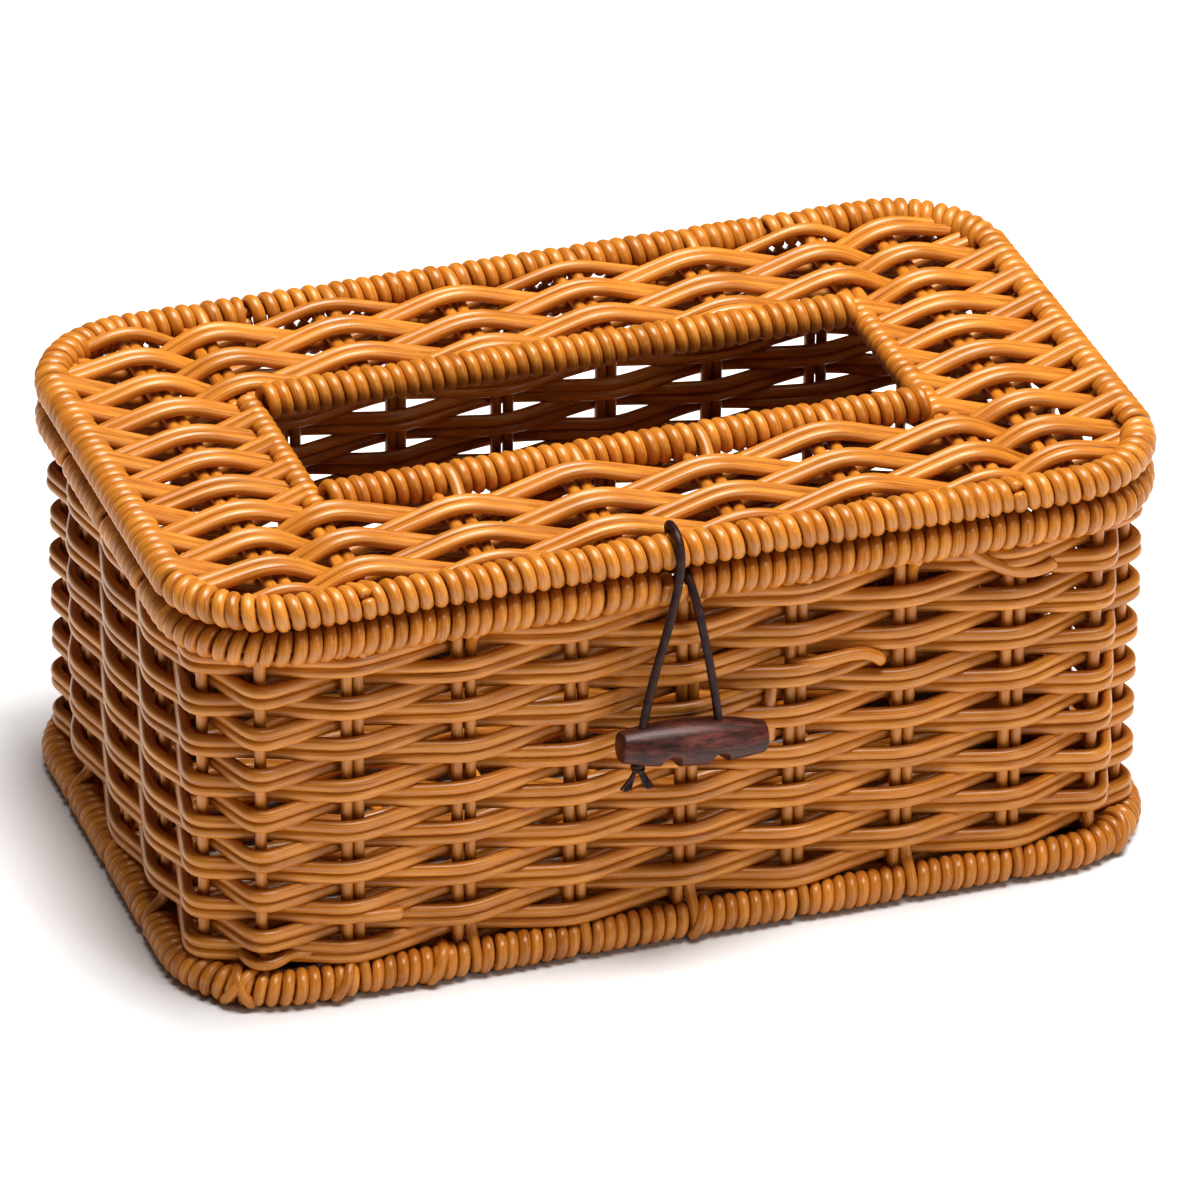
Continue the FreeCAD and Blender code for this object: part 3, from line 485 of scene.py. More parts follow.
def zigzag(run, stops, halves, reach, bend, ends):
    """Heights of a strand that passes each stake or pair at its reach, and is straight between them."""
    marks = np.column_stack([stops - halves, stops + halves]).ravel()
    before, after = ends
    heights = np.array(reach, float)
    for attempt in range(FITTING):
        points = np.vstack([before, np.column_stack([marks, np.repeat(heights, 2)]), after])
        heights = heights * reach / eased(stops, *points.T, bend)
    return eased(run, *points.T, bend)


def threaded(knots, bend, step):
    """A closed line that is straight between knots, with its bends rounded so that it still meets them."""
    gaps = np.linalg.norm(np.roll(knots, -1, axis=0) - knots, axis=1)
    marks = np.concatenate([[0], np.cumsum(gaps)[:-1]])
    length = gaps.sum()
    pulled = knots.copy()
    for attempt in range(FITTING):
        met = np.column_stack([eased(marks, marks, column, bend, length) for column in pulled.T])
        pulled += knots - met
    count = int(length / step)
    run = np.arange(count) * length / count
    return np.column_stack([eased(run, marks, column, bend, length) for column in pulled.T])


def wander(run, amount, draw):
    """A slow uneven drift along a closed line, whose run goes from 0 to 1."""
    waves = [(count, draw.random(), draw.normal()) for count in SWAY_WAVES]
    drift = sum(np.sin(2 * math.pi * (count * run + start)) * size for count, start, size in waves)
    return drift * amount / 2


def by_turns(count, start):
    """1 and -1 by turns; an odd start begins with -1."""
    return np.where((np.arange(count) + start) % 2 == 0, 1, -1)


def arc(centre, radius, start, end):
    """Points of an arc in a plane, its angles in degrees."""
    count = max(4, int(abs(end - start) / ARC_STEP))
    angles = np.radians(np.linspace(start, end, count))
    return np.column_stack([centre[0] + radius * np.cos(angles), centre[1] + radius * np.sin(angles)])


def tangent_angle(centre, radius, point, upper):
    """Where a line from a point on the right touches a circle on its upper or lower side, in degrees."""
    gap = np.asarray(point, float) - centre
    lean = math.degrees(math.acos(min(1, radius / np.hypot(*gap))))
    return math.degrees(math.atan2(gap[1], gap[0])) + (lean if upper else -lean)


def wound_end(centre, radius, point, upper, far):
    """A strand's end from far round a rod at the left to where it leaves for a point on the right."""
    leave = tangent_angle(centre, radius, point, upper)
    if not upper:
        leave += 360
        far = 360 - far
    return arc(centre, radius, far, leave)


def mirrored(points):
    return (points * (-1, 1))[::-1]


def path_of(x, y, z):
    """Rows of three coordinates; a single one holds for every row."""
    return np.column_stack(np.broadcast_arrays(x, y, z))


def rounded(points, step=1.2, window=2):
    """The same line with even steps and its corners eased."""
    lengths = np.concatenate([[0], np.cumsum(np.linalg.norm(np.diff(points, axis=0), axis=1))])
    run = np.arange(0, lengths[-1], step)
    line = np.column_stack([np.interp(run, lengths, column) for column in points.T])
    padded = np.vstack([line[:1]] * window + [line] + [line[-1:]] * window)
    count = 2 * window + 1
    return np.mean([padded[shift:shift + len(line)] for shift in range(count)], axis=0)


# Walls

# How far plain stakes go into the rims; where wound ones start and stop, in degrees, and leave the weave
STAKE_TUCK = 1
STAKE_TURNS = (-110, 150)
STAKE_LEAVES = 2.5


def stake_step(side):
    """From one pair of stakes to the next, along a long or a short wall."""
    turn = math.radians(CORNER_STAKE_ANGLE)
    corner = wall_loop.straight[side % 2] + WALL_RADIUS * math.sin(turn)
    return 2 * corner / (SIDE_STAKES[side] - 1 + 2 * CORNER_STEP)


def wall_stops():
    """Distances of the stakes along the wall from the front left corner, and half the width of each."""
    bend = math.radians(CORNER_STAKE_ANGLE) * WALL_RADIUS
    stops = []
    halves = []
    for side, count in enumerate(SIDE_STAKES):
        start = wall_loop.starts[2 * side]
        end = wall_loop.starts[2 * side + 1]
        half = stake_step(side) * (count - 1) / 2
        middle = wall_loop.middle(side)
        stops += [start - bend, *np.linspace(middle - half, middle + half, count), end + bend]
        halves += [0.0] + [STAKE / 2] * count + [0.0]
    return np.array(stops), np.array(halves)


def weave_walls(material):
    """Rows of two strands each, which pass the stakes on the inside and the outside by turns."""
    stops, halves = wall_stops()
    marks = np.column_stack([stops - halves, stops + halves]).ravel()
    marks = marks[np.concatenate([[True], np.diff(marks) > 0])]
    owner = np.abs(marks[:, None] - stops[None, :]).argmin(axis=1)
    place, out = wall_loop.places(marks)
    pitch = (WALL_TOP - ROWS_BOTTOM) / WALL_ROWS
    reach = (STAKE + WALL_STRAND[1]) / 2 + WALL_SLACK
    for row in range(WALL_ROWS):
        strands = Strands()
        sides = -by_turns(len(stops), row)
        uneven = 1 + ROW_UNEVEN * chance.normal(size=len(stops))
        seed = chance.integers(1 << 30)
        for twin in (-1, 1):
            touch = 1 + TWIN_UNEVEN * chance.normal(size=len(stops))
            offset = (sides * reach * uneven * touch)[owner]
            line = threaded(place + out * offset[:, None], WALL_BEND, WALL_STEP)
            run = np.arange(len(line)) / len(line)
            sway = wander(run, ROW_SWAY, np.random.default_rng(seed)) + wander(run, TWIN_SWAY, chance)
            z = ROWS_BOTTOM + (row + 0.5) * pitch + twin * pitch / 4 + sway
            strands.add(np.column_stack([line, z]), UP, WALL_STRAND, closed=True)
        strands.make(f"row_{row + 1:02d}_strands", "basket", material, [f"weave_row_{row + 1:02d}"])


def wound_stake(inset):
    """Distance out of the rim's middle and height of a stake that is wound over both rims."""
    radius = RIM_RADIUS - TURN[1] / 2
    low = np.array([inset, ROWS_BOTTOM + STAKE_LEAVES])
    high = np.array([inset, WALL_TOP - STAKE_LEAVES])
    flip = np.array([-1, 1])
    foot = np.array([0, FOOT_Z])
    top = np.array([0, TOP_Z])
    lower = arc(foot, radius, STAKE_TURNS[0], 180 - tangent_angle(foot, radius, low * flip, True))
    upper = arc(top, radius, 180 - tangent_angle(top, radius, high * flip, False), STAKE_TURNS[1])
    return rounded(np.vstack([lower, low, high, upper]))


def wall_stakes(material):
    """Pairs of uprights; returns the runs at which the right one of a pair goes on over both rims."""
    stops = iter(wall_stops()[0])
    inset = WALL_Y - RIM_Y
    heights = np.linspace(FOOT_Z + STAKE_TUCK, TOP_Z - STAKE_TUCK, STAKE_POINTS)
    plain = np.column_stack([np.full(STAKE_POINTS, inset), heights])
    wound = wound_stake(inset)
    turns = []
    for side, name in enumerate(SIDE_NAMES):
        strands = Strands()
        pairs = [(-1, 1)] * SIDE_STAKES[side]
        for twins in [(0,), *pairs, (0,)]:
            stop = next(stops)
            for twin in twins:
                run = stop + twin * PAIR
                place, out = wall_loop.places(np.array(run))
                profile = plain
                if twin == 1:
                    profile = wound
                    turns.append(run - wall_loop.middle(side) + rim_loop.middle(side))
                plan = place - out * inset + out * profile[:, :1]
                wave = np.sin((profile[:, 1] - WALL_BOTTOM) / STAKE_SWAY_WAVE)
                sway = STAKE_SWAY * chance.normal() * wave
                ahead = np.array([-out[1], out[0]])
                path = np.column_stack([plan + ahead * sway[:, None], profile[:, 1]])
                strands.add(path, np.array([*ahead, 0]), (STAKE, STAKE), tone=ROD_TONE)
        strands.make(f"{name}_uprights", "basket", material, [f"{name}_stakes"])
    return turns


# Rims

# Where a turn starts round its rod, in degrees, and the share of a turn at which it has no lead
RIM_WIND = (-135, 0.125)
SLOT_WIND = (-100, 0.22)

# Where along X the cord goes between the rims, and how high the lower rim's turns rise there
CORD_GAP = (-7.0, 0.3)
PRESSED_RISE = 0.7

# What the side rims of the lid leave free beside the strands wound round them
WOUND_MARGIN = 3.0


def front_run(x):
    """Distance along a rim of a place on its front."""
    return x + rim_loop.straight[0]


def back_run(x):
    """Distance along a rim of a place on its back."""
    return rim_loop.middle(2) - x


def corner_run(turn):
    """Distance along a rim of a direction, in degrees, at one of its two front corners."""
    right = turn > -90
    return rim_loop.starts[1 if right else 7] + math.radians(turn + (90 if right else 180)) * CORNER


def side_of(run):
    """The name of the side, or corner, that a run along the rim is on."""
    leg = int(rim_loop.legs(run))
    return "corner" if leg % 2 else SIDE_NAMES[leg // 2]


def press_under_cord(run):
    """Keeps the turns of the basket's rim low where the cord goes between the two rims."""
    x = run % rim_loop.length - rim_loop.straight[0]
    return PRESSED_RISE if CORD_GAP[0] < x < CORD_GAP[1] and side_of(run) == "front" else None


def turn_runs(start, end, fixed, pitch):
    """Even places of turns from start to end, with a place left out at each fixed run."""
    stops = [start - pitch / 2] + sorted(run for run in fixed if start < run < end) + [end + pitch / 2]
    runs = []
    for before, after in zip(stops, stops[1:]):
        count = int(round((after - before) / pitch)) - 1
        if count > 0:
            runs += list(np.linspace(before, after, count + 2)[1:-1])
    return runs


def turn_angles(wind):
    return np.radians(np.linspace(wind[0], wind[0] + 360, TURN_POINTS))


def round_rim(run, angle, radius, z):
    """A path at runs along a rim and angles round it, and the rim's own direction there."""
    place, out = rim_loop.places(run)
    path = np.column_stack([place + out * (radius * np.cos(angle))[:, None], z + radius * np.sin(angle)])
    return path, np.column_stack([-out[:, 1], out[:, 0], np.zeros(len(out))])


def rim_turn(strands, run, z, pitch, size, press, lean):
    """One turn round a rim, from its hidden lower inside right round to there again."""
    angle = turn_angles(RIM_WIND)
    advance = lean * pitch * (angle / (2 * math.pi) - RIM_WIND[1])
    shift = TURN_SHIFT * chance.normal()
    swell = RIM_RADIUS - size[1] / 2 - abs(TURN_SINK * chance.normal())
    path, axis = round_rim(run + advance + shift, angle, swell, z)
    if press:
        path[:, 2] = np.minimum(path[:, 2], z + press)
    strands.add(path, axis, size)


def rim(name, z, spans, fixed, body, material, pitch, size, press=None, lean=1, sides=SIDE_NAMES):
    """Turns of one rim over spans of its loop, as a piece for each side and one for the corners."""
    pieces = {side: Strands() for side in (*sides, "corner")}
    for start, end in spans:
        for run in turn_runs(start, end, fixed, pitch):
            rim_turn(pieces[side_of(run)], run, z, pitch, size, press(run) if press else None, lean)
    for side, strands in pieces.items():
        nodes = [f"{name}_corner_wraps"] if side == "corner" else [f"{name}_wrap_{side}"]
        strands.make(f"{name}_turns_{side}", body, material, nodes)


def top_spans():
    """Stretches of the basket's rim between the hinges."""
    right, left = back_run(HINGE_X), back_run(-HINGE_X)
    return [(left + HINGE_HALF, right - HINGE_HALF + rim_loop.length),
            (right + HINGE_HALF, left - HINGE_HALF)]


def lid_spans(first_wound, last_wound):
    """Stretches of the lid's rim between the hinges and the strands wound round its sides."""
    right, left = back_run(HINGE_X), back_run(-HINGE_X)
    right_side, left_side = rim_loop.middle(1), rim_loop.middle(3)
    start = left_side - first_wound + WOUND_MARGIN - rim_loop.length
    return [(start, right_side + first_wound - WOUND_MARGIN),
            (right_side + last_wound + WOUND_MARGIN, right - HINGE_HALF),
            (right + HINGE_HALF, left - HINGE_HALF),
            (left + HINGE_HALF, left_side - last_wound - WOUND_MARGIN)]


def hinge_loops(material):
    for name, side in (("left", -1), ("right", 1)):
        lower = arc((RIM_Y, TOP_Z), LOOP_RADIUS, 180, 360)
        upper = arc((RIM_Y, LID_Z), LOOP_RADIUS, 0, 180)
        profile = np.vstack([lower, upper])
        path = np.column_stack([np.full(len(profile), side * HINGE_X), profile])
        strands = Strands()
        strands.add(path, ALONG, (STAKE, STAKE), closed=True)
        strands.make(f"hinge_strand_{name}", "basket", material, [f"hinge_loop_{name}"])


# Loose ends

# Ends on the front wall as places along X and heights, and how deep each one starts and stops in the weave
LOOSE_ENDS = (
    (((66.0, 101.5), (72.1, 97.8), (77.5, 93.6), (85.1, 89.6), (90.9, 88.9), (95.8, 91.0)), 2.6, 0.0),
    (((26.0, 72.6), (36.0, 73.6), (43.8, 74.0), (47.8, 73.0), (50.2, 70.6), (50.8, 68.2)), 2.6, 2.2),
    (((-88.0, 22.6), (-79.4, 21.9), (-74.3, 21.6)), 2.6, 0.0),
)
LOOSE_FRONT = 0.5
LOOSE_STEP = 0.9
RISING_SHARE = 0.35
SINKING_SHARE = 0.2
TUCKED_END = ((26.0, 68.6), (23.6, 69.2), (21.9, 67.6), (21.7, 60.0), (21.9, 51.5))
TUCKED_DEPTH = 0.9

# A loop round the corner stake, as runs from it along the wall, distances out of the wall and heights
CORNER_LOOP = ((-5.5, -1.5, 12.0), (-3.6, 1.4, 12.3), (-1.6, 3.2, 11.9), (1.4, 3.4, 11.7), (4.2, 2.2, 12.2),
               (7.0, -0.5, 12.6), (14.0, -0.6, 11.6), (26.0, -0.8, 11.2))
CORNER_LOOP_STEP = 0.8

# Lashings over the base rim, as places along the front or angles round a corner, and how far they lean
FRONT_LASHINGS = ((-91.0, 3.8), (-66.5, 3.4), (2.0, 3.2))
CORNER_LASHINGS = ((-128.0, 4.5), (-122.0, -3.2), (-52.0, 4.0))
LASHING_SINK = 0.5
LASHING_LOWEST = 1.7
LASHING_ANGLES = (-60, 215)
LASHING_POINTS = 20
LASHING_EASE = 1.6


def loose_ends(material):
    """Ends of strands on the front wall, a loop round the corner stake, and lashings of the base rim."""
    strands = Strands()
    front = -WALL_Y - (STAKE + WALL_STRAND[1]) / 2 - LOOSE_FRONT
    for places, starts, stops in LOOSE_ENDS:
        x, z = rounded(np.array(places), LOOSE_STEP, 3).T
        run = np.linspace(0, 1, len(x))
        sunk = starts * np.clip(1 - run / RISING_SHARE, 0, 1) ** 2
        sunk += stops * np.clip(1 - (1 - run) / SINKING_SHARE, 0, 1) ** 2
        strands.add(path_of(x, front + sunk, z), ACROSS, WALL_STRAND[::-1])
    x, z = rounded(np.array(TUCKED_END), LOOSE_STEP).T
    strands.add(path_of(x, -WALL_Y - TUCKED_DEPTH, z), ACROSS, (STAKE, STAKE))
    along, offset, z = rounded(np.array(CORNER_LOOP), CORNER_LOOP_STEP).T
    place, out = wall_loop.places(wall_stops()[0][0] + along)
    strands.add(np.column_stack([place + out * offset[:, None], z]), UP, (STAKE, STAKE))
    angle = np.radians(np.linspace(*LASHING_ANGLES, LASHING_POINTS))
    lashings = [(front_run(x), lean) for x, lean in FRONT_LASHINGS]
    lashings += [(corner_run(turn), lean) for turn, lean in CORNER_LASHINGS]
    for run, lean in lashings:
        runs = run + lean * np.sin(angle / LASHING_EASE)
        path, axis = round_rim(runs, angle, RIM_RADIUS - LASHING_SINK, FOOT_Z)
        kept = path[:, 2] > LASHING_LOWEST
        strands.add(path[kept], axis[kept], LASHING)
    strands.make("loose_ends", "basket", material, None)


# Lid

LID_NODES = {
    "front": ["lid_weave_front"],
    "left": ["lid_weave_left", "lid_wrap_left", "slot_wrap_left"],
    "right": ["lid_weave_right", "lid_wrap_right", "slot_wrap_right"],
    "back": ["lid_weave_back"],
}

# How far strands and rods go round the rims, in degrees
STRAND_WOUND = 335
ROD_WOUND = 300
ROD_CUT = 128
CUT_TURN = (152, 335)
CUT_TURN_SIZE = (TURN[0] - 0.1, STAKE)

# Where ends are tucked in: strands over or under the rim's middle, rods short of the middles of rims
TUCK_OVER = 0.6
TUCK_UNDER = -1.0
ROD_TUCK = 2.0
SLOT_TUCK = 1.0
SIDE_ROD_TUCK = 2.5

# Strands just past the straight part of a side rim are still wound round it
WOUND_PAST = 2

# A strand's last bend over its reach, where a rod leaves a rim, how far off it leans, the gap at the edges
END_LIFT = 1.06
ROD_LEAVES = 5.5
SLANT_REACH = 14
EDGE_GAP = 0.1


def row_places(start, end, count):
    """The middles of the two strands of each row between start and end."""
    pitch = (end - start) / count
    return [[start + (row + 0.5) * pitch + side * LID_TWIN / 2 for side in (-1, 1)] for row in range(count)]


def lid_stops():
    """Places along X of the outer pairs of cross rods and of those at the slot."""
    step = 2 * SLOT_X / (SLOT_STAKES + 1)
    middles = [(index - (SLOT_STAKES - 1) / 2) * step for index in range(SLOT_STAKES)]
    outer = (SLOT_X + RIM_X - RIM_RADIUS) / 2
    return outer, middles


def rim_inside(y):
    """How far along X the middle of the rim's corner is, at a distance y from the lid's middle."""
    over = max(abs(y) - rim_loop.straight[1], 0)
    return rim_loop.straight[0] + math.sqrt(max(CORNER ** 2 - over ** 2, 1))


def is_wound(y):
    return abs(y) < rim_loop.straight[1] + WOUND_PAST


def rim_end(y, way, side):
    """Where a strand at y ends at the left or right rim, and its radius if it is wound there, or 0."""
    if is_wound(y):
        return (way * RIM_X, LID_Z), RIM_RADIUS - LID_STRAND[1] / 2
    return (way * rim_inside(y), LID_Z + (TUCK_OVER if side < 0 else TUCK_UNDER)), 0


def lid_line(stops, first_side, left, right):
    """Points of x and height of a lid strand; left and right are rods to wind round, or ends to tuck in."""
    stops = np.array(stops)
    halves = np.full(len(stops), STAKE / 2)
    reach = (STAKE + LID_STRAND[1]) / 2 + LID_SLACK
    reach = reach * first_side * by_turns(len(stops), 0)
    reach = reach * (1 + LID_UNEVEN * chance.normal(size=len(stops)))
    ends = []
    knots = []
    for (centre, radius), number, flip in ((left, 0, 1), (right, -1, -1)):
        corner = np.array([stops[number] - flip * halves[number], LID_WEAVE_Z + END_LIFT * reach[number]])
        end = np.array([centre]) * (flip, 1)
        if radius:
            end = wound_end(end[0], radius, corner * (flip, 1), reach[number] < 0, STRAND_WOUND)
        leave = end[-1] * (flip, 1)
        ends.append(end)
        knots.append(np.array([leave * 2 - corner, leave])[::flip] - (0, LID_WEAVE_Z))
    first, last = ends[0], mirrored(ends[1])
    run = np.arange(first[-1, 0], last[0, 0], LID_STEP)
    heights = LID_WEAVE_Z + zigzag(run, stops, halves, reach, LID_BEND, knots)
    return np.vstack([first[:-1], np.column_stack([run, heights]), last])


def lid_weave(material):
    """Rows of the lid, wound round its side rims where these are straight; returns from where to where."""
    outer, middles = lid_stops()
    stakes = [-outer, -SLOT_X, *middles, SLOT_X, outer]
    slot_edges = (SLOT_FRONT - SLOT_RADIUS, SLOT_BACK + SLOT_RADIUS)
    edges = {"front": (-LID_EDGE, slot_edges[0]), "middle": slot_edges, "back": (slot_edges[1], LID_EDGE)}
    slot_ends = [((x, LID_WEAVE_Z), SIDE_RADIUS - LID_STRAND[1] / 2) for x in (-SLOT_X, SLOT_X)]
    pieces = {name: Strands() for name in LID_NODES}
    wound = []
    side = 1
    for strip, count in LID_ROWS:
        for row in row_places(*edges[strip], count):
            side = -side
            for y in row:
                left, right = rim_end(y, -1, side), rim_end(y, 1, -side)
                if is_wound(y):
                    wound.append(y)
                if strip == "middle":
                    lines = {"left": lid_line([-outer], side, left, slot_ends[0]),
                             "right": lid_line([outer], -side, slot_ends[1], right)}
                else:
                    lines = {strip: lid_line(stakes, side, left, right)}
                for name, line in lines.items():
                    x, z = line.T
                    sway = LID_SWAY * chance.normal()
                    sway = sway * np.sin(x / LID_SWAY_WAVE + LID_SWAY_START * chance.random())
                    pieces[name].add(path_of(x, y + sway, z), ACROSS, LID_STRAND)
    edge = LID_EDGE + LID_STRAND[0] / 2 + EDGE_GAP
    for name, y in (("front", -edge), ("back", edge)):
        x, z = lid_line(stakes, 1, rim_end(y, -1, 1), rim_end(y, 1, -1)).T
        pieces[name].add(path_of(x, y, z), ACROSS, LID_STRAND)
    for name, strands in pieces.items():
        strands.make(f"lid_strands_{name}", "lid", material, LID_NODES[name])
    return min(wound), max(wound)


def turn_slant(y, z, centre):
    """How far along X the turns round a long rim of the lid or the slot lean, at places near it."""
    on_slot = abs(centre[0]) < RIM_Y
    way = -1 if centre[0] == -RIM_Y else 1
    start, middle = SLOT_WIND if on_slot else RIM_WIND
    pitch = SLOT_PITCH if on_slot else RIM_PITCH
    angle = np.degrees(np.arctan2(z - centre[1], way * (y - centre[0])))
    angle = np.mod(angle - start, 360) + start
    near = np.clip(1 - (np.hypot(y - centre[0], z - centre[1]) - RIM_RADIUS) / SLANT_REACH, 0, 1)
    return near * pitch * (angle / 360 - middle) * way


def cross_rod(strands, x, start, end):
    """A rod across the lid between two ends, each one a place, or a rim to wind round and how far."""
    line = []
    rims = []
    for place, flip in ((start, 1), (end, -1)):
        if isinstance(place, float):
            points = np.array([[place, LID_WEAVE_Z]])
        else:
            centre, radius, far = place
            rims.append(centre)
            point = np.array([flip * centre[0] + radius + ROD_LEAVES, LID_WEAVE_Z])
            wound = wound_end(np.array(centre) * (flip, 1), radius, point, True, far)
            points = np.vstack([wound, point]) * (flip, 1)
        line.append(points[::flip])
    y, z = rounded(np.vstack(line)).T
    slant = sum(turn_slant(y, z, centre) for centre in rims)
    sway = ROD_SWAY * chance.normal() * np.sin(y / ROD_SWAY_WAVE)
    strands.add(path_of(x + slant + sway, y, z), ALONG, LID_ROD, tone=ROD_TONE)


def lid_rods(material):
    """Pairs of cross rods, and single ones cut off at the front; returns where the wound ones are."""
    outer, middles = lid_stops()
    wind = RIM_RADIUS - STAKE / 2
    slot_wind = SLOT_RADIUS - STAKE / 2
    front_rim = (-RIM_Y, LID_Z)
    front = (front_rim, wind, ROD_WOUND)
    back = ((RIM_Y, LID_Z), wind, ROD_WOUND)
    slot_front = ((SLOT_FRONT, SLOT_Z), slot_wind, ROD_WOUND)
    slot_back = ((SLOT_BACK, SLOT_Z), slot_wind, ROD_WOUND)
    front_tuck = ROD_TUCK - RIM_Y
    back_tuck = RIM_Y - ROD_TUCK
    strands = Strands()
    for x in (-outer, outer):
        cross_rod(strands, x - PAIR, front_tuck, back_tuck)
        cross_rod(strands, x + PAIR, front_tuck, back_tuck)
    for x in middles:
        cross_rod(strands, x - PAIR, front_tuck, SLOT_FRONT - SLOT_TUCK)
        cross_rod(strands, x + PAIR, front, slot_front)
        cross_rod(strands, x - PAIR, SLOT_BACK + SLOT_TUCK, back_tuck)
        cross_rod(strands, x + PAIR, slot_back, back)
    for x in cut_rods():
        cross_rod(strands, x, (front_rim, wind, ROD_CUT), SLOT_FRONT - SIDE_ROD_TUCK)
        cross_rod(strands, x, SLOT_BACK + SIDE_ROD_TUCK, back_tuck)
        lower_turn = arc(front_rim, wind, *CUT_TURN)
        slant = turn_slant(*lower_turn.T, front_rim)
        strands.add(np.column_stack([x + slant, lower_turn]), ALONG, CUT_TURN_SIZE)
    strands.make("lid_cross_rods", "lid", material, ["lid_stakes"])
    sides = Strands()
    for x in (-SLOT_X, SLOT_X):
        cross_rod(sides, x, front, back)
    sides.make("slot_side_canes", "lid", material, ["slot_side_rods"])
    return [x + PAIR for x in middles]


def cut_rods():
    """Places along X of the single rods beside the slot."""
    return [-SLOT_X - 2 * PAIR, SLOT_X + 2 * PAIR]


def slot_turns(material, taken):
    """Turns round the two long rods of the slot."""
    radius = SLOT_RADIUS - SLOT_TURN[1] / 2
    half = SLOT_X - SIDE_RADIUS + SLOT_TUCK
    angle = turn_angles(SLOT_WIND)
    advance = SLOT_PITCH * (angle / (2 * math.pi) - SLOT_WIND[1])
    for name, y in (("front", SLOT_FRONT), ("back", SLOT_BACK)):
        strands = Strands()
        for x in turn_runs(-half, half, taken, SLOT_PITCH):
            swell = radius + SLOT_TURN_SWELL * chance.normal()
            runs = x + advance + TURN_SHIFT * chance.normal()
            path = path_of(runs, y + swell * np.cos(angle), SLOT_Z + swell * np.sin(angle))
            strands.add(path, ALONG, SLOT_TURN)
        strands.make(f"slot_turns_{name}", "lid", material, [f"slot_wrap_{name}"])


# Floor

def floor(material):
    """Cross rods and pairs of strands under the tissues."""
    count = SIDE_STAKES[0]
    stops = (np.arange(count) - (count - 1) / 2) * stake_step(0)
    rods = Strands()
    for x in stops:
        y = np.linspace(ROD_TUCK - RIM_Y, RIM_Y - ROD_TUCK, ROD_POINTS)
        rods.add(path_of(x, y, FLOOR_Z), ALONG, (STAKE, STAKE))
    rods.make("floor_rods", "basket", material, ["floor_stakes"])
    strands = Strands()
    edge = FLOOR_EDGE - LID_STRAND[0]
    reach = (STAKE + LID_STRAND[1]) / 2 + FLOOR_SLACK
    halves = np.zeros(count)
    for row, middle in enumerate(np.linspace(-edge, edge, FLOOR_ROWS)):
        sides = by_turns(count, row)
        for y in (middle - FLOOR_TWIN / 2, middle + FLOOR_TWIN / 2):
            end = rim_inside(y)
            ends = [np.array([[-end, 0.0]]), np.array([[end, 0.0]])]
            x = np.arange(-end, end, FLOOR_STEP)
            z = FLOOR_Z + zigzag(x, stops, halves, sides * reach, FLOOR_BEND, ends)
            strands.add(path_of(x, y, z), ACROSS, LID_STRAND)
    strands.make("floor_strands", "basket", material, ["floor_weave"])


# Pull

TOGGLE_PLACE = Vector((-2.7, -9.65, -49.05))
TOGGLE_TILT = 5.5
TOGGLE_LENGTH = 38.0
TOGGLE_DIAMETER = 12.0
TOGGLE_END = 7.8
TOGGLE_EASE = 0.7
TOGGLE_STEPS = 260
TOGGLE_SIDES = 112
NOTCH_DIAMETER = 5.2
NOTCH_SPACING = 12.8
NOTCH_TURN = 30.0

# The knot's turns by height and radius, and the cut ends by how they lean to the side and the front
KNOT_LIFT = 1.6
KNOT_TURNS = ((0.7, 1.0), (-0.5, 1.1))
KNOT_SLANT = 0.4
KNOT_POINTS = 18
KNOT_SIZE = (1.5, 1.5)
CUT_ENDS = ((-0.45, 0.2), (0.38, -0.3))
CUT_END_REACH = 7.0
CUT_END_DROP = 6.6
CUT_END_FORWARD = 0.5
CUT_END_POINTS = 9
FIBRES = (-1.5, -0.5, 0.5, 1.5)
FIBRE_SPREAD = 0.35
FIBRE_TWIST = 0.3
FIBRE_WAVE = 4
FIBRE_SHORTENING = 0.06
FIBRE_SIZE = (0.62, 0.8)


def cord_curve(material):
    """The cord's line, as one open spline over its route."""
    data = bpy.data.curves.new("cord", "CURVE")
    data.dimensions = "3D"
    spline = data.splines.new("NURBS")
    spline.points.add(len(CORD_ROUTE) - 1)
    for point, offset in zip(spline.points, CORD_ROUTE):
        point.co = (*((Vector(RIM_MIDDLE) + Vector(offset)) * MM), 1)
    spline.order_u = 3
    spline.use_endpoint_u = True
    data.resolution_u = 16
    data.bevel_depth = CORD_DIAMETER / 2 * MM
    data.bevel_resolution = 4
    data.use_fill_caps = True
    data.materials.append(material)
    return placed(bpy.data.objects.new("cord_line", data), "pull", ["pull_cord"])


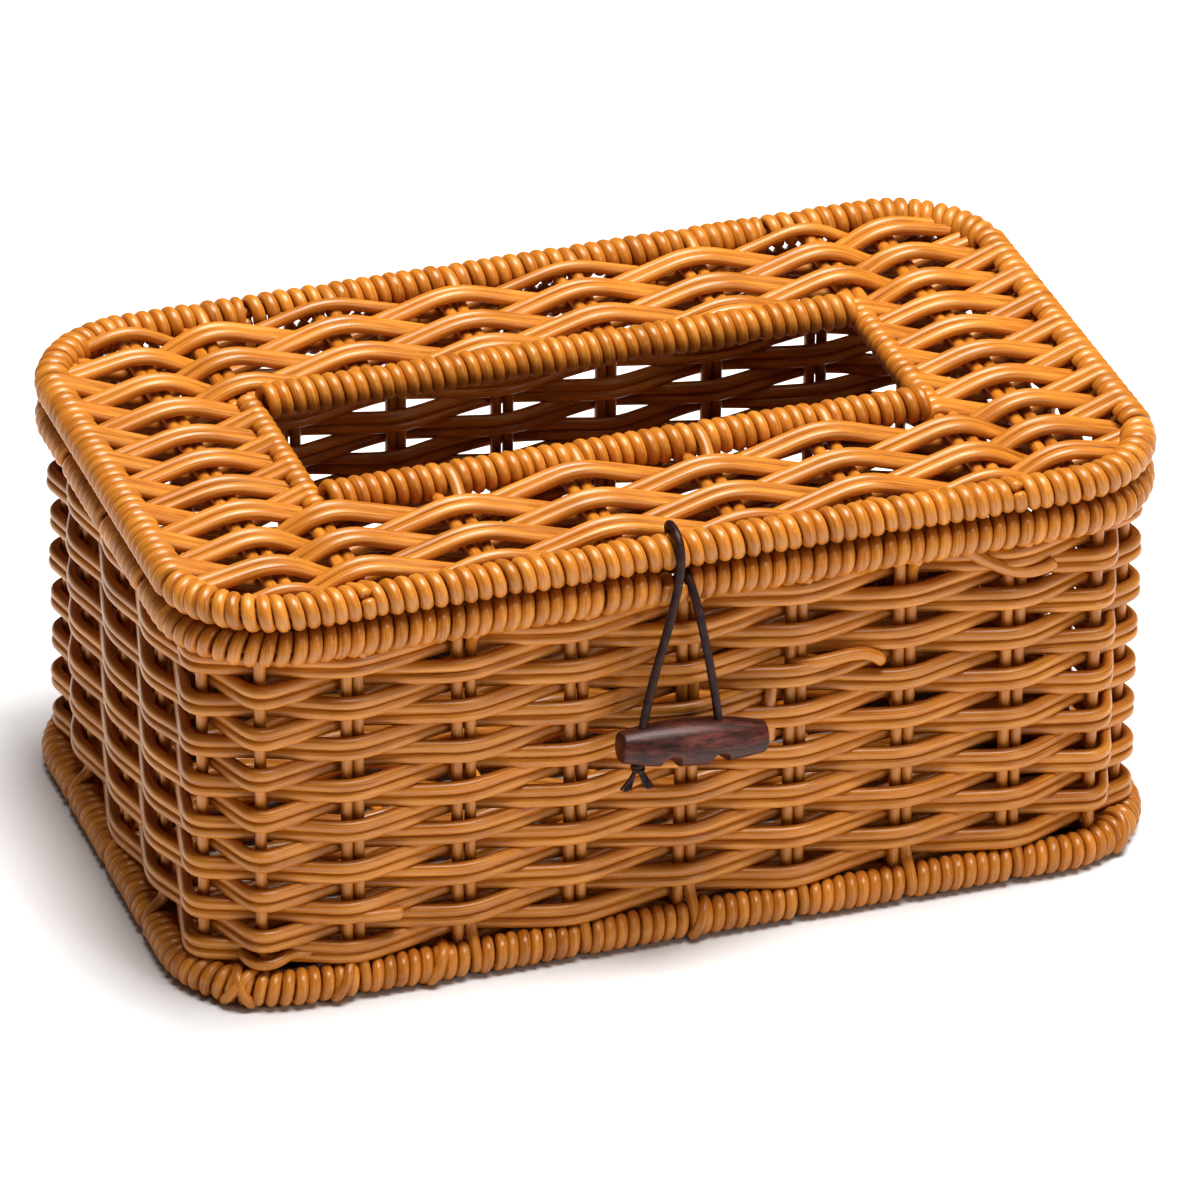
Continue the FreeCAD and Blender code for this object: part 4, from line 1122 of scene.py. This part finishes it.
def toggle(material):
    """A turned barrel with flat ends and two notches carved along its lower side."""
    half = TOGGLE_LENGTH / 2
    taper = (TOGGLE_DIAMETER - TOGGLE_END) / 2
    crown = (half ** 2 + taper ** 2) / (2 * taper)
    x = np.linspace(-half, half, TOGGLE_STEPS)
    radius = TOGGLE_DIAMETER / 2 - crown + np.sqrt(crown ** 2 - x ** 2)
    inset = np.clip(TOGGLE_EASE - (half - np.abs(x)), 0, TOGGLE_EASE)
    radius -= TOGGLE_EASE - np.sqrt(TOGGLE_EASE ** 2 - inset ** 2)
    angle = np.arange(TOGGLE_SIDES) * 2 * math.pi / TOGGLE_SIDES
    front = radius[:, None] * np.cos(angle)
    rise = radius[:, None] * np.sin(angle)
    for side in (-1, 1):
        across = x - side * NOTCH_SPACING / 2
        depth = np.sqrt(np.clip((NOTCH_DIAMETER / 2) ** 2 - across ** 2, 0, None))
        carved = np.where(depth > 0, depth - TOGGLE_DIAMETER / 2, -half)
        rise = np.maximum(rise, carved[:, None])
    turn = math.radians(NOTCH_TURN)
    y = front * math.cos(turn) + rise * math.sin(turn)
    z = rise * math.cos(turn) - front * math.sin(turn)
    points = np.stack([np.repeat(x[:, None], TOGGLE_SIDES, axis=1), y, z], axis=2).reshape(-1, 3)
    index = np.arange(rise.size).reshape(rise.shape)
    faces = quads(index[:-1], index[1:]) + [index[0].tolist(), index[-1][::-1].tolist()]
    piece = bpy.data.objects.new("toggle_barrel", smooth_mesh("toggle_barrel", points, faces, material))
    piece.location = (Vector(RIM_MIDDLE) + TOGGLE_PLACE) * MM
    piece.rotation_euler = (0, math.radians(TOGGLE_TILT), 0)
    return placed(piece, "pull", ["toggle"])


def cord_ends(material):
    """The knot under the toggle and the split ends of the cord that hang below it."""
    start = np.array(RIM_MIDDLE) + np.array(CORD_ROUTE[0]) + (0, 0, KNOT_LIFT)
    strands = Strands()
    angle = np.linspace(0, 2 * math.pi, KNOT_POINTS, endpoint=False)
    for lift, radius in KNOT_TURNS:
        ring = path_of(radius * np.cos(angle), radius * np.sin(angle),
                       lift + KNOT_SLANT * np.sin(angle + lift))
        strands.add(start + ring, UP, KNOT_SIZE, closed=True)
    fall = np.linspace(0, 1, CUT_END_POINTS)
    for lean, turn in CUT_ENDS:
        for fibre in FIBRES:
            spread = lean * fall * CUT_END_REACH + fibre * FIBRE_SPREAD * (1 + fall ** 2)
            depth = turn * fall + FIBRE_TWIST * fibre * np.sin(fall * FIBRE_WAVE) - CUT_END_FORWARD * fall
            drop = -CUT_END_DROP * fall * (1 - FIBRE_SHORTENING * abs(fibre))
            strands.add(start + path_of(spread, depth, drop), ALONG, FIBRE_SIZE)
    return strands.make("cord_ends", "pull", material, ["cord_knot"])


# Stage, in metres

GROUND_REACH = 6.0
GROUND_COLOUR = (0.8, 0.8, 0.8, 1)
WHITE = (1, 1, 1, 1)
# Painted shadow: the floor's emission is held back under the box and rises to full strength within this
# reach of its foot.
PAINTED_SHADOW_REACH = 0.05
GLOW = 0.42
WORLD_LIGHT = 0.05
LIT_PLACE = Vector((0, 0, 0.06))
LIGHTS = (("key", (0.2, -0.08, 1.6), 1.1, 43.0), ("front_fill", (0.8, -1.5, 0.75), 0.4, 4.3))


def ground_material():
    """White floor with faint emission, held back at the foot of the box and rising away from it: the darker
    floor under and round the box is a painted shadow.
    """
    material, shader = new_material("ground", 0.9, 0.1)
    shader.inputs["Base Color"].default_value = GROUND_COLOUR
    shader.inputs["Emission Color"].default_value = WHITE
    # Painted shadow round and under the box: no emission within its foot, rising with the distance beyond
    # it.
    foot = ((RIM_X + RIM_RADIUS) * MM, (RIM_Y + RIM_RADIUS) * MM, 0)
    spread = vector_math(material, "ABSOLUTE", object_place(material))
    beyond = vector_math(material, "MAXIMUM", vector_math(material, "SUBTRACT", spread, foot))
    gap = vector_math(material, "LENGTH", beyond)
    shadowed_glow = add_node(material, "ShaderNodeMapRange", Value=gap, From_Max=PAINTED_SHADOW_REACH, To_Max=GLOW)
    link(material, shadowed_glow.outputs["Result"], shader.inputs["Emission Strength"])
    return material


def make_stage():
    """White floor with a painted shadow at the foot of the box, and soft light from above, the front and
    the right.
    """
    mesh = bpy.data.meshes.new("ground")
    corners = [(x * GROUND_REACH, y * GROUND_REACH, 0) for x, y in ((-1, -1), (1, -1), (1, 1), (-1, 1))]
    mesh.from_pydata(corners, [], [(0, 1, 2, 3)])
    mesh.materials.append(ground_material())
    ground = bpy.data.objects.new("ground", mesh)
    scene.collection.objects.link(ground)
    scene.world = bpy.data.worlds.new("studio")
    scene.world.use_nodes = True
    background = scene.world.node_tree.nodes["Background"]
    background.inputs["Color"].default_value = WHITE
    background.inputs["Strength"].default_value = WORLD_LIGHT
    for name, place, size, power in LIGHTS:
        data = bpy.data.lights.new(name, "AREA")
        data.shape = "DISK"
        data.size = size
        data.energy = power
        lamp = bpy.data.objects.new(name, data)
        lamp.location = place
        lamp.rotation_mode = "QUATERNION"
        lamp.rotation_quaternion = (LIT_PLACE - Vector(place)).to_track_quat("-Z", "Y")
        scene.collection.objects.link(lamp)
    scene.view_settings.view_transform = "Standard"
    scene.view_settings.look = "Medium High Contrast"


make_camera()
leather = leather_material()
cord = cord_curve(leather)
barrel = toggle(wood_material())
ends = cord_ends(leather)

cane = cane_material()
weave_walls(cane)
stake_turns = wall_stakes(cane)
loose_ends(cane)
floor(cane)
rim("top", TOP_Z, top_spans(), stake_turns, "basket", cane, RIM_PITCH, TURN, press_under_cord)
rim("base", FOOT_Z, [(0, rim_loop.length)], stake_turns, "basket", cane, BASE_PITCH, BASE_TURN)
hinge_loops(cane)

wound_sides = lid_weave(cane)
rod_turns = lid_rods(cane)
slot_turns(cane, rod_turns)
wound_rods = [*rod_turns, -SLOT_X, SLOT_X]
lid_taken = [front_run(x) for x in wound_rods + cut_rods()] + [back_run(x) for x in wound_rods]
rim("lid", LID_Z, lid_spans(*wound_sides), lid_taken, "lid", cane, RIM_PITCH, TURN, lean=-1,
    sides=("front", "back"))

core = core_material()
for node in ("base_core", "top_core", "lid_core", "slot_long_rods"):
    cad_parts[node].data.materials.clear()
    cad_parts[node].data.materials.append(core)

make_stage()
